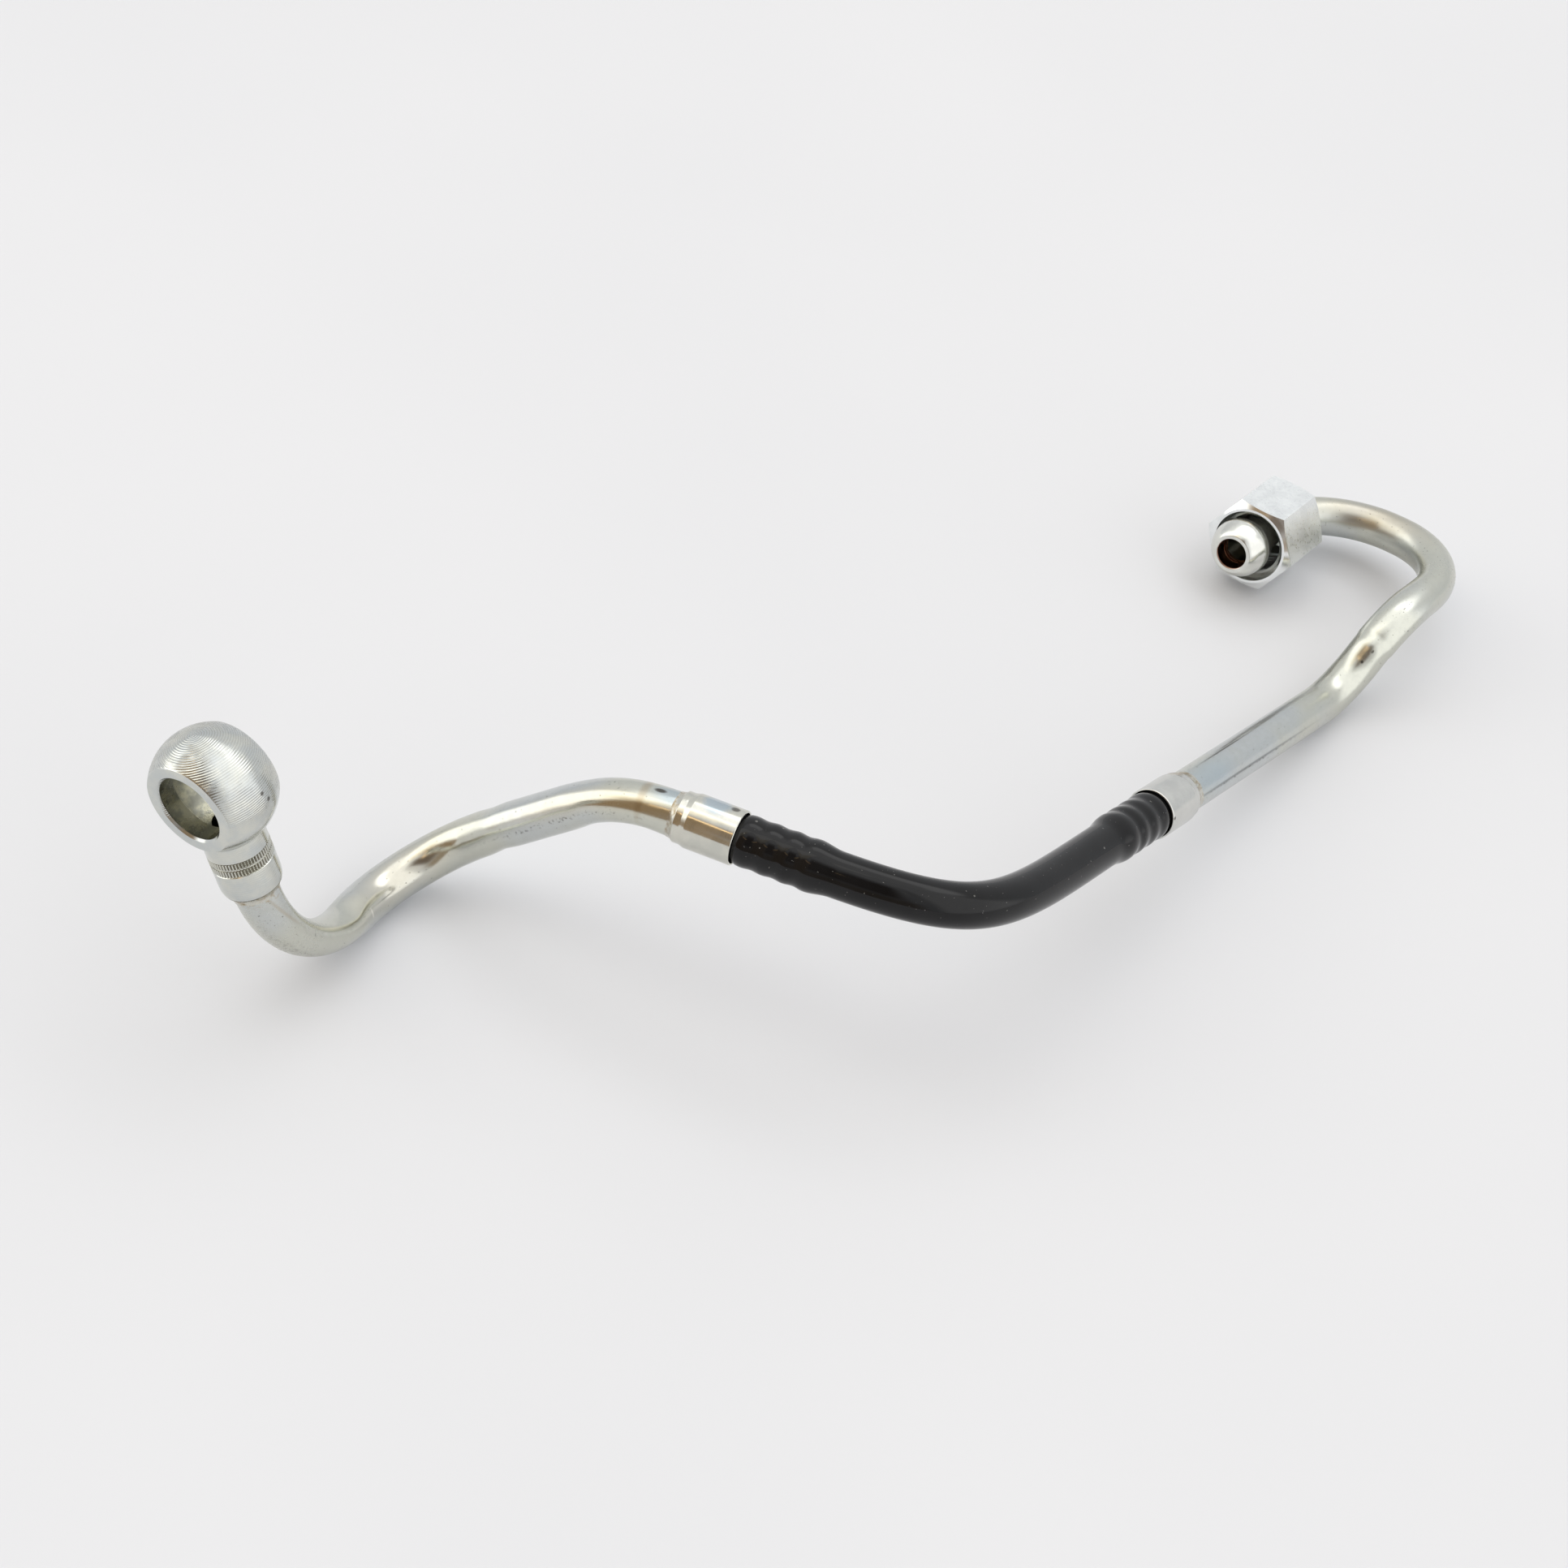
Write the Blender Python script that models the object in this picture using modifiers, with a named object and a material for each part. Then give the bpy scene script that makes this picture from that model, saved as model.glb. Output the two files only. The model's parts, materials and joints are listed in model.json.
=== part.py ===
"""Fuel line: a banjo-eye tube and a union-nut tube joined by a short plastic hose.

Frame: metres, +Z up, the line lying as it rests on a flat surface. The origin is under the
middle of its bounding box, on that surface. X runs from the banjo end to the hose, Y away
from the hose side towards the union nut's hook. All sizes below are in millimetres.
"""
import math

import bmesh
import bpy
from mathutils import Matrix, Vector

MM = 0.001
GAP = 0.25                      # clearance between two pieces that touch

# Steel tube, both halves of the line
TUBE_OD = 8.0
TUBE_ID = 6.0
TUBE_SIDES = 18
BORE_SIDES = 10
ARC_STEP = 11.0                  # degrees between two sections of a bend
OVAL_RUN = 3.0                  # length over which a bend's flattening fades out

# Barbed tube end inside the hose, measured from the sleeve's mouth
BARB_CORE = 6.6
BARB_OD = 7.3
BARB_COUNT = 4
BARB_FIRST = 1.4
BARB_PITCH = 3.8
BARB_SLOPE = 2.4
BARB_END = 15.6
CORE_START = -8.6

# Bend table: each leg runs on from the corner before it, then the radius of the bend at its
# far end and how far that bend flattens. The banjo tube starts at the middle of the eye.
EYE_CENTRE = (-27.0, -20.3, 47.5)
BANJO_LEGS = (
    ((14.7, -5.5, -37.7), 24.6, 0.185),
    ((16.7, 36.8, -9.0), 16.2, 0.01),
    ((15.6, -4.7, 16.5), 36.5, 0.08),
    ((19.0, -6.6, 18.6), 23.6, 0.08),
)
BANJO_LAST_LEG = (20.6, -9.0, 1.5)       # to the mouth of the first sleeve
HOSE_SPAN = (77.7, 33.9, -17.2)          # from the first sleeve's mouth to the second's
NUT_LEGS = (
    ((47.3, 58.0, -17.9), 16.0, 0.01),
    ((9.0, 8.7, 13.4), 17.4, 0.11),
    ((19.0, 23.2, -2.9), 17.6, 0.03),
    ((-26.9, 26.8, -7.6), 17.8, 0.02),
)
NIPPLE_LEG = (-22.4, -31.3, 7.1)         # to the ball nipple's front ring

# Banjo eye fitting
BALL_OD = 21.0
EYE_WIDTH = 12.9                # between the two sealing faces
EYE_BORE = 12.2
EYE_BORE_CHAMFER = 0.4
EYE_FACES = (-0.532, -0.842, -0.085)     # the way the eye's near face looks
GROOVE_OD = 14.0                # fuel groove round the bolt
GROOVE_WIDTH = 5.6
CROSS_BORE = 5.2
NECK_OD = 10.7
NECK_END = 20.3                 # from the ball's centre
NECK_ROUND_START = 18.2
NECK_RIM_OD = 9.5
NECK_FILLET = 1.0
SOCKET_DEPTH = 6.3
KNURL_BANDS = ((12.2, 13.35), (13.65, 14.8))
KNURL_TEETH = 48
KNURL_DEPTH = 0.22
KNURL_RELIEF_OD = 10.3

# Crimp sleeves over the hose ends
SLEEVE_OD = 9.8
SLEEVE_BORE = 9.0
SLEEVE_BODY = 8.6
SLEEVE_SHOULDER = 1.0
SLEEVE_COLLAR = 1.2
COLLAR_OD = 9.2

# Braze fillets: length along the tube and diameter at the thick end
EYE_BRAZE = (1.6, 9.9)
SLEEVE_BRAZE = (1.2, 9.0)
NUT_SLEEVE_BRAZE = (2.2, 9.1)

# Hose
HOSE_OD = 8.1
HOSE_ID = 6.0
HOSE_SIDES = 18
HOSE_BORE_SIDES = 14
HOSE_NECK_OD = 8.5              # inside the sleeve
HOSE_VALLEY_OD = 8.8            # between two barbs
HOSE_RIDGE_OD = 9.15            # over a barb
HOSE_LAST_RIDGE_OD = 9.3
HOSE_STRAIGHT = 12.0            # the barbed end holds the hose straight this far
HOSE_HANDLES = (34.1, 40.4)     # how stiffly it leaves the two barbed ends

# Ball nipple on the end of the nut tube, measured back from its front ring
NIPPLE_BALL_OD = 12.1
NIPPLE_RING_OD = 8.0
NIPPLE_BORE = 6.2
NIPPLE_SHOULDER = 3.2           # the depth where the tube's socket ends
NIPPLE_LAND = 0.7
NIPPLE_NECK_OD = 10.0
NIPPLE_LENGTH = 9.5
COPPER_RING = 0.8

# Union nut
NUT_AF = 17.0
NUT_LENGTH = 17.6
NUT_FACE_OD = 16.0
NUT_CHAMFER = 30.0
THREAD_MINOR = 12.4
MOUTH_OD = 15.0
REAR_BORE = 9.8
REAR_LENGTH = 3.0
NUT_STANDOFF = 5.95             # front face behind the nipple's front ring
NUT_SHIFT = (0.95, 0.75)        # how far the loose nut hangs off the tube, front and rear
NUT_ROLL = 32.0


def vec(point):
    return Vector(point) * MM


def unit(vector):
    return Vector(vector).normalized()


def bend_table(start, legs):
    """Walk the legs from start: the corner points, each with its radius and flattening."""
    corners, corner = [], Vector(start)
    for leg, radius, flat in legs:
        corner = corner + Vector(leg)
        corners.append((tuple(corner), radius, flat))
    return tuple(corners)


def step(start, leg):
    return tuple(Vector(start) + Vector(leg))


BANJO_BENDS = bend_table(EYE_CENTRE, BANJO_LEGS)
BANJO_MOUTH = step(BANJO_BENDS[-1][0], BANJO_LAST_LEG)
NUT_MOUTH = step(BANJO_MOUTH, HOSE_SPAN)
NUT_BENDS = bend_table(NUT_MOUTH, NUT_LEGS)
NIPPLE_FRONT = step(NUT_BENDS[-1][0], NIPPLE_LEG)


# Scene helpers

def clear_scene():
    for item in list(bpy.data.objects):
        bpy.data.objects.remove(item, do_unlink=True)


def new_collection(name):
    collection = bpy.data.collections.new(name)
    bpy.context.scene.collection.children.link(collection)
    return collection


def material(name, colour, roughness, metallic):
    item = bpy.data.materials.new(name)
    item.use_nodes = True
    shader = item.node_tree.nodes["Principled BSDF"]
    shader.inputs["Base Color"].default_value = (*colour, 1.0)
    shader.inputs["Roughness"].default_value = roughness
    shader.inputs["Metallic"].default_value = metallic
    return item


def axis_frame(origin, z_axis, x_hint):
    """A placement whose Z runs along z_axis and whose X leans towards x_hint."""
    z = unit(z_axis)
    x = Vector(x_hint)
    x = (x - z * x.dot(z)).normalized()
    y = z.cross(x)
    rotation = Matrix((x, y, z)).transposed()
    return Matrix.Translation(origin) @ rotation.to_4x4()


def add_object(name, mesh, place=None, parts=None, look=None):
    item = bpy.data.objects.new(name, mesh)
    (parts or MODEL).objects.link(item)
    item.parent = ROOT
    if place is not None:
        item.matrix_world = place
    if look is not None:
        mesh.materials.append(look)
    if parts is CUTTERS:
        item.hide_render = True
        item.display_type = "WIRE"
    return item


def smooth(item, angle=35.0):
    item.data.shade_smooth()
    item.data.set_sharp_from_angle(angle=math.radians(angle))


def boolean(item, cutter, operation="DIFFERENCE"):
    modifier = item.modifiers.new(cutter.name, "BOOLEAN")
    modifier.operation = operation
    modifier.solver = "EXACT"
    modifier.object = cutter
    return modifier


def turned(name, profile, steps, closed, place=None, parts=None, look=None):
    """Turn an (radius, height) outline about Z; it runs down its outer side."""
    mesh = bpy.data.meshes.new(name)
    points = [(radius * MM, 0.0, height * MM) for radius, height in profile]
    edges = [(i, i + 1) for i in range(len(points) - 1)]
    if closed:
        edges.append((len(points) - 1, 0))
    mesh.from_pydata(points, edges, [])
    item = add_object(name, mesh, place, parts, look)
    screw = item.modifiers.new("turn", "SCREW")
    screw.axis = "Z"
    screw.angle = math.tau
    screw.steps = steps
    screw.render_steps = steps
    screw.use_merge_vertices = True
    screw.merge_threshold = 0.00001
    screw.use_smooth_shade = True
    return item


def arc(centre, radius, start, end, count):
    """Points of an arc in the (radius, height) plane, angles in degrees from +radius."""
    points = []
    for i in range(count + 1):
        angle = math.radians(start + (end - start) * i / count)
        points.append((centre[0] + radius * math.cos(angle), centre[1] + radius * math.sin(angle)))
    return points


# Routes: straight legs joined by tangent arcs

class Route:
    """Stations along a bent tube: point, inward direction and flattening."""

    def __init__(self, start, bends, end):
        corners = [vec(start)] + [vec(bend[0]) for bend in bends] + [vec(end)]
        ways = [unit(after - before) for before, after in zip(corners, corners[1:])]
        tangents = [0.0] + [radius * MM * math.tan(a.angle(b) / 2)
                            for (_, radius, _), a, b in zip(bends, ways, ways[1:])] + [0.0]
        self.first, self.last = ways[0], ways[-1]
        self.stations = [(corners[0], None, 0.0)]
        for i, (_, radius, flat) in enumerate(bends, 1):
            fades = []
            for leg, other in ((i - 1, i - 1), (i, i + 1)):
                straight = (corners[leg + 1] - corners[leg]).length - tangents[i] - tangents[other]
                fades.append(min(OVAL_RUN * MM, 0.4 * straight))
            self.add_bend(corners[i], ways[i - 1], ways[i], radius * MM, tangents[i], flat, fades)
        self.stations.append((corners[-1], None, 0.0))

    def add_bend(self, corner, way_in, way_out, radius, tangent, flat, fades):
        turn = way_in.angle(way_out)
        inward = (way_out - way_in * way_out.dot(way_in)).normalized()
        centre = corner - way_in * tangent + inward * radius
        count = max(2, round(math.degrees(turn) / ARC_STEP))
        self.stations.append((corner - way_in * (tangent + fades[0]), inward, 0.0))
        for i in range(count + 1):
            angle = turn * i / count
            point = centre - inward * radius * math.cos(angle) + way_in * radius * math.sin(angle)
            here = flat * (0.6 if i in (0, count) else 1.0)
            self.stations.append((point, (centre - point).normalized(), here))
        self.stations.append((corner + way_out * (tangent + fades[1]), inward, 0.0))


def tube_mesh(name, points, radii, sides):
    """A filled round tube through the points, made as a bevelled curve and then a mesh."""
    curve = bpy.data.curves.new(name, "CURVE")
    curve.dimensions = "3D"
    curve.twist_mode = "MINIMUM"
    curve.bevel_depth = MM
    curve.bevel_resolution = (sides - 4) // 2
    curve.use_fill_caps = True
    spline = curve.splines.new("POLY")
    spline.points.add(len(points) - 1)
    for target, point, radius in zip(spline.points, points, radii):
        target.co = (*point, 1.0)
        target.radius = radius / MM
    guide = bpy.data.objects.new(name, curve)
    bpy.context.scene.collection.objects.link(guide)
    evaluated = guide.evaluated_get(bpy.context.evaluated_depsgraph_get())
    mesh = bpy.data.meshes.new_from_object(evaluated)
    bpy.data.objects.remove(guide, do_unlink=True)
    bpy.data.curves.remove(curve)
    work = bmesh.new()
    work.from_mesh(mesh)
    bmesh.ops.remove_doubles(work, verts=work.verts, dist=1e-6)
    bmesh.ops.recalc_face_normals(work, faces=work.faces)
    work.to_mesh(mesh)
    work.free()
    mesh.name = name
    return mesh


def flatten_bends(mesh, stations):
    """Squash each bend's section a little in its own plane and let it widen across."""
    flattened = [station for station in stations if station[2] > 0]
    for vertex in mesh.vertices:
        point, inward, flat = min(stations, key=lambda s: (s[0] - vertex.co).length_squared)
        if flat == 0 or not flattened:
            continue
        offset = vertex.co - point
        in_plane = inward * offset.dot(inward)
        vertex.co = point + in_plane * (1 - flat) + (offset - in_plane) * (1 + 0.4 * flat)


def barb_profile():
    """(distance from the sleeve's mouth, radius) along the barbed end."""
    core, top = BARB_CORE / 2, BARB_OD / 2
    profile = [(CORE_START, TUBE_OD / 2), (CORE_START + 0.5, core)]
    for i in range(BARB_COUNT):
        at = BARB_FIRST + i * BARB_PITCH
        profile += [(at - 0.1, core), (at, top), (at + BARB_SLOPE, core)]
    return profile + [(BARB_END - 0.1, core), (BARB_END, core - 0.2)]


def bent_tube(name, route, mouth, out_of_mouth, look):
    """The bent tube, its barbed end past the sleeve's mouth, and its bore."""
    points = [s[0] for s in route.stations]
    radii = [TUBE_OD / 2 * MM] * len(points)
    points[-1] = mouth + out_of_mouth * CORE_START * MM
    for distance, radius in barb_profile()[1:]:
        points.append(mouth + out_of_mouth * distance * MM)
        radii.append(radius * MM)
    mesh = tube_mesh(name, points, radii, TUBE_SIDES)
    flatten_bends(mesh, route.stations)
    tube = add_object(name, mesh, look=look)
    smooth(tube, 30)

    inner = [s[0] for s in route.stations]
    inner[0] = inner[0] - route.first * MM
    inner[-1] = mouth + out_of_mouth * (BARB_END + 1.0) * MM
    bore = tube_mesh(name + "_bore", inner, [TUBE_ID / 2 * MM] * len(inner), BORE_SIDES)
    flatten_bends(bore, route.stations)
    boolean(tube, add_object(name + "_bore", bore, parts=CUTTERS))
    return tube


# Banjo eye

def banjo_outline():
    """Ball, fillet, neck with the knurl's relief, and the rounded mouth, top to bottom."""
    ball, neck, rim = BALL_OD / 2, NECK_OD / 2, NECK_RIM_OD / 2
    height = NECK_END - NECK_ROUND_START
    outline = [(0.0, NECK_END)]
    for i in range(5):
        angle = math.radians(90 * i / 4)
        outline.append((rim + (neck - rim) * math.sin(angle), NECK_ROUND_START + height * math.cos(angle)))
    relief, low, high = KNURL_RELIEF_OD / 2, KNURL_BANDS[0][0], KNURL_BANDS[-1][1]
    outline += [(neck, high + 0.2), (relief, high + 0.05), (relief, low - 0.05), (neck, low - 0.2)]
    reach = ball + NECK_FILLET
    centre = (neck + NECK_FILLET, math.sqrt(reach ** 2 - (neck + NECK_FILLET) ** 2))
    tilt = math.degrees(math.atan2(centre[1], centre[0]))
    outline += arc(centre, NECK_FILLET, 180, 180 + tilt, 3)
    return outline + arc((0, 0), ball, tilt, -90, 14)[1:-1] + [(0.0, -ball)]


def knurl_ring(name, low, high, place):
    """A straight-knurled band: a toothed disc that is joined to the neck."""
    outer = (NECK_OD / 2 + 0.02) * MM
    mesh = bpy.data.meshes.new(name)
    work = bmesh.new()
    made = bmesh.ops.create_cone(work, cap_ends=True, segments=2 * KNURL_TEETH, radius1=outer,
                                 radius2=outer, depth=(high - low) * MM)
    for vertex in made["verts"]:
        turn = round(math.atan2(vertex.co.y, vertex.co.x) / math.tau * 2 * KNURL_TEETH)
        if turn % 2:
            vertex.co.xy *= 1 - KNURL_DEPTH * MM / outer
        vertex.co.z += (low + high) / 2 * MM
    work.to_mesh(mesh)
    work.free()
    return add_object(name, mesh, place, CUTTERS)


def cylinder(name, diameter, low, high, segments, place, top_diameter=None):
    mesh = bpy.data.meshes.new(name)
    work = bmesh.new()
    bmesh.ops.create_cone(work, cap_ends=True, segments=segments, radius1=diameter / 2 * MM,
                          radius2=(top_diameter or diameter) / 2 * MM, depth=(high - low) * MM)
    bmesh.ops.translate(work, verts=work.verts, vec=(0, 0, (low + high) / 2 * MM))
    work.to_mesh(mesh)
    work.free()
    return add_object(name, mesh, place, CUTTERS)


def banjo_fitting(look):
    neck_way = unit(vec(BANJO_BENDS[0][0]) - vec(EYE_CENTRE))
    place = axis_frame(vec(EYE_CENTRE), neck_way, EYE_FACES)
    across = axis_frame(vec(EYE_CENTRE), place.to_3x3().col[0], neck_way)
    fitting = turned("banjo_fitting", banjo_outline(), 40, False, place, look=look)

    for i, (low, high) in enumerate(KNURL_BANDS):
        boolean(fitting, knurl_ring(f"knurl_{i + 1}", low, high, place), "UNION")

    slab = bpy.data.meshes.new("eye_width")
    work = bmesh.new()
    wide = 3 * BALL_OD
    bmesh.ops.create_cube(work, size=wide * MM)
    for vertex in work.verts:
        vertex.co.z *= EYE_WIDTH / wide
    work.to_mesh(slab)
    work.free()
    boolean(fitting, add_object("eye_width", slab, across, CUTTERS), "INTERSECT")

    boolean(fitting, eye_bore_cutter(across))
    floor = NECK_END - SOCKET_DEPTH
    boolean(fitting, cylinder("cross_bore", CROSS_BORE, EYE_BORE / 4, floor + SOCKET_DEPTH / 2, 16, place))
    socket = TUBE_OD + 2 * GAP
    boolean(fitting, cylinder("tube_socket", socket, floor, NECK_END + SOCKET_DEPTH, 32, place))
    return fitting


def eye_bore_cutter(across):
    """Bolt bore with its fuel groove and a chamfer at each face, as one turned cutter."""
    bore, groove, face = EYE_BORE / 2, GROOVE_OD / 2, EYE_WIDTH / 2
    chamfer = bore + EYE_BORE_CHAMFER
    half = [(0.0, face + 1.0), (chamfer + 1.0, face + 1.0), (bore, face - EYE_BORE_CHAMFER)]
    half += [(bore, GROOVE_WIDTH / 2), (groove, GROOVE_WIDTH / 2 - 0.6)]
    outline = half + [(radius, -height) for radius, height in reversed(half)]
    return turned("eye_bore", outline, 40, False, across, CUTTERS)


# Rings of braze metal

def braze_fillet(name, place, length, thick_od, look):
    """A hollow fillet round the tube, thick against the piece above it and thin below."""
    inner = TUBE_OD / 2 + GAP
    thin, thick = inner + 0.12, thick_od / 2
    outline = [(inner, 0.0), (thick, 0.0)]
    for i in range(1, 4):
        outline.append((thin + (thick - thin) * (1 - i / 3) ** 2, -length * i / 3))
    outline.append((inner, -length))
    item = turned(name, outline, 24, True, place, look=look)
    return item


# Sleeves and hose

def sleeve(name, mouth, out_of_mouth, rounded, look):
    """Drawn crimp sleeve: open mouth at the top, shoulder and collar round the tube below."""
    outer, bore, collar = SLEEVE_OD / 2, SLEEVE_BORE / 2, COLLAR_OD / 2
    hole = TUBE_OD / 2 + GAP
    shoulder, foot = SLEEVE_BODY + SLEEVE_SHOULDER, SLEEVE_BODY + SLEEVE_SHOULDER + SLEEVE_COLLAR
    outline = [(bore + 0.05, 0.0), (outer - 0.12, 0.0), (outer, -0.18), (outer, -SLEEVE_BODY)]
    if rounded:
        for i in range(1, 5):
            angle = math.radians(90 * i / 4)
            outline.append((collar + (outer - collar) * math.cos(angle),
                            -SLEEVE_BODY - SLEEVE_SHOULDER * math.sin(angle)))
    else:
        outline.append((collar, -shoulder))
    outline += [(collar, -foot), (hole, -foot), (hole, -shoulder + 0.5), (bore, -SLEEVE_BODY + 0.1)]
    place = axis_frame(mouth, out_of_mouth, (0, 0, 1))
    return turned(name, outline, 36, True, place, look=look)


def hose_radius(x):
    """Outer radius at x past a sleeve's mouth: the barbs raise it in rounded ridges."""
    neck, valley, free = HOSE_NECK_OD / 2, HOSE_VALLEY_OD / 2, HOSE_OD / 2
    if x < 0.3:
        return neck
    last = BARB_FIRST + (BARB_COUNT - 1) * BARB_PITCH + 0.4
    ridge = HOSE_RIDGE_OD / 2 + (HOSE_LAST_RIDGE_OD - HOSE_RIDGE_OD) / 2 * min(1, x / last) ** 4
    if x <= last:
        wave = 0.5 + 0.5 * math.cos(math.tau * (x - last) / BARB_PITCH)
        radius = valley + (ridge - valley) * wave
        return min(radius, neck + (x - 0.3) * 0.5)
    fall = min(1.0, (x - last) / 4.5)
    return ridge + (free - ridge) * (fall * fall * (3 - 2 * fall))


def hose_route(start, leave, end, arrive):
    """Centreline from the first sleeve to the second, as (point, x past the nearer mouth)."""
    reach = HOSE_STRAIGHT * MM
    a, b = start + leave * reach, end + arrive * reach
    c, d = a + leave * HOSE_HANDLES[0] * MM, b + arrive * HOSE_HANDLES[1] * MM
    tuck = -(SLEEVE_BODY - 0.7)
    step = BARB_PITCH / 4
    held = [tuck, 0.0, 0.3] + [0.35 + step * i for i in range(1, 13)]
    stations = [(start + leave * x * MM, x) for x in held if x < HOSE_STRAIGHT]
    count = 16
    length = 0.0
    middle, past = [], a
    for i in range(count + 1):
        t = i / count
        point = a * (1 - t) ** 3 + c * 3 * (1 - t) ** 2 * t + d * 3 * (1 - t) * t * t + b * t ** 3
        length += (point - past).length / MM
        past = point
        middle.append((point, length))
    for point, along in middle:
        stations.append((point, HOSE_STRAIGHT + min(along, length - along)))
    stations += [(end + arrive * x * MM, x) for x in reversed(held) if x < HOSE_STRAIGHT]
    return stations


def hose(start, leave, end, arrive, look):
    stations = hose_route(start, leave, end, arrive)
    points = [point for point, _ in stations]
    mesh = tube_mesh("hose", points, [hose_radius(x) * MM for _, x in stations], HOSE_SIDES)
    item = add_object("hose", mesh, look=look)
    smooth(item, 40)

    over_core = BARB_CORE / 2 + GAP
    over_barb = BARB_OD / 2 + GAP + 0.1
    tuck = -(SLEEVE_BODY - 0.7)
    ends = [(tuck - 1.0, over_core), (0.6, over_core), (1.2, over_barb), (BARB_END + 0.3, over_barb)]
    free = HOSE_ID / 2
    inner = [(start + leave * x * MM, r * MM) for x, r in ends[:3]]
    inner += [(point, (over_barb if x < BARB_END + 1.5 else free) * MM)
              for point, x in stations if x > HOSE_STRAIGHT - 0.01]
    inner += [(end + arrive * x * MM, r * MM) for x, r in reversed(ends[:3])]
    bore = tube_mesh("hose_bore", [p for p, _ in inner], [r for _, r in inner], HOSE_BORE_SIDES)
    boolean(item, add_object("hose_bore", bore, parts=CUTTERS))
    return item


# Ball nipple and union nut

def ball_nipple(place, look):
    ball, ring, bore = NIPPLE_BALL_OD / 2, NIPPLE_RING_OD / 2, NIPPLE_BORE / 2
    neck, socket = NIPPLE_NECK_OD / 2, TUBE_OD / 2 + GAP
    centre = math.sqrt(ball ** 2 - ring ** 2)
    start = math.degrees(math.atan2(centre, ring))
    outline = [(bore + 0.2, 0.0)] + arc((0, -centre), ball, start, 0, 6)
    land = centre + NIPPLE_LAND
    outline += [(ball, -land), (neck, -land - (ball - neck)), (neck, -NIPPLE_LENGTH + 0.3),
                (neck - 0.3, -NIPPLE_LENGTH), (socket, -NIPPLE_LENGTH), (socket, -NIPPLE_SHOULDER),
                (bore, -NIPPLE_SHOULDER), (bore, -0.2)]
    return turned("ball_nipple", outline, 40, True, place, look=look)


def copper_ring(place, look):
    top = -(NIPPLE_SHOULDER + 0.2)
    inner, outer, low = NIPPLE_BORE / 2 - 0.05, TUBE_OD / 2, top - COPPER_RING
    outline = [(inner + 0.15, top), (outer, top), (outer, low), (inner + 0.15, low), (inner, (top + low) / 2)]
    return turned("copper_braze_ring", outline, 32, True, place, look=look)


def union_nut(look):
    """Hexagon nut, loose on the tube behind the nipple; its origin is on its own axis."""
    stub = unit(vec(NUT_BENDS[-1][0]) - vec(NIPPLE_FRONT))
    turn = unit(vec(NUT_BENDS[-2][0]) - vec(NUT_BENDS[-1][0]))
    aside = (turn - stub * turn.dot(stub)).normalized()
    front = vec(NIPPLE_FRONT) + stub * NUT_STANDOFF * MM + aside * NUT_SHIFT[0] * MM
    rear = vec(NIPPLE_FRONT) + stub * (NUT_STANDOFF + NUT_LENGTH) * MM + aside * NUT_SHIFT[1] * MM
    level = Vector((0, 0, 1)).cross(stub)
    place = axis_frame(front, front - rear, level) @ Matrix.Rotation(math.radians(NUT_ROLL), 4, "Z")

    mesh = bpy.data.meshes.new("union_nut")
    work = bmesh.new()
    bmesh.ops.create_cone(work, cap_ends=True, segments=6, radius1=NUT_AF / math.sqrt(3) * MM,
                          radius2=NUT_AF / math.sqrt(3) * MM, depth=NUT_LENGTH * MM)
    bmesh.ops.translate(work, verts=work.verts, vec=(0, 0, -NUT_LENGTH / 2 * MM))
    work.to_mesh(mesh)
    work.free()
    nut = add_object("union_nut", mesh, place, look=look)

    face, wide = NUT_FACE_OD / 2, NUT_AF / math.sqrt(3) + 0.5
    drop = (wide - face) * math.tan(math.radians(NUT_CHAMFER))
    outline = [(0.0, 0.02), (face, 0.0), (wide, -drop), (wide, drop - NUT_LENGTH),
               (face, -NUT_LENGTH), (0.0, -NUT_LENGTH - 0.02)]
    blank = turned("nut_chamfers", outline, 48, False, place, CUTTERS)
    boolean(nut, blank, "INTERSECT")

    bore, mouth, rear_bore = THREAD_MINOR / 2, MOUTH_OD / 2, REAR_BORE / 2
    seat = NUT_LENGTH - REAR_LENGTH
    outline = [(0.0, 1.0), (mouth + 1.0, 1.0), (bore, -(mouth - bore)),
               (bore, -seat + (bore - rear_bore)), (rear_bore, -seat),
               (rear_bore, 0.3 - NUT_LENGTH), (rear_bore + 1.3, -NUT_LENGTH - 1.0),
               (0.0, -NUT_LENGTH - 1.0)]
    boolean(nut, turned("nut_bore", outline, 40, False, place, CUTTERS))
    return nut


def settle(root, parts):
    """Put the point under the middle of the whole line at the origin."""
    bpy.context.view_layer.update()
    graph = bpy.context.evaluated_depsgraph_get()
    low, high = Vector([math.inf] * 3), Vector([-math.inf] * 3)
    for item in parts.objects:
        if item.type != "MESH":
            continue
        evaluated = item.evaluated_get(graph)
        for vertex in evaluated.data.vertices:
            point = evaluated.matrix_world @ vertex.co
            low = Vector(map(min, low, point))
            high = Vector(map(max, high, point))
    root.location = (-(low.x + high.x) / 2, -(low.y + high.y) / 2, -low.z)
    bpy.context.view_layer.update()


clear_scene()
MODEL = new_collection("fuel_line")
CUTTERS = new_collection("fuel_line_cutters")
ROOT = bpy.data.objects.new("fuel_line", None)
MODEL.objects.link(ROOT)

ZINC = material("zinc_grey", (0.52, 0.52, 0.49), 0.42, 1.0)
BALL_STEEL = material("turned_steel", (0.60, 0.60, 0.58), 0.30, 1.0)
NUT_STEEL = material("tumbled_steel", (0.62, 0.62, 0.60), 0.38, 1.0)
BRAZE = material("braze", (0.46, 0.36, 0.24), 0.45, 1.0)
COPPER = material("copper", (0.55, 0.27, 0.16), 0.35, 1.0)
PLASTIC = material("black_plastic", (0.012, 0.012, 0.013), 0.25, 0.0)

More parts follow.
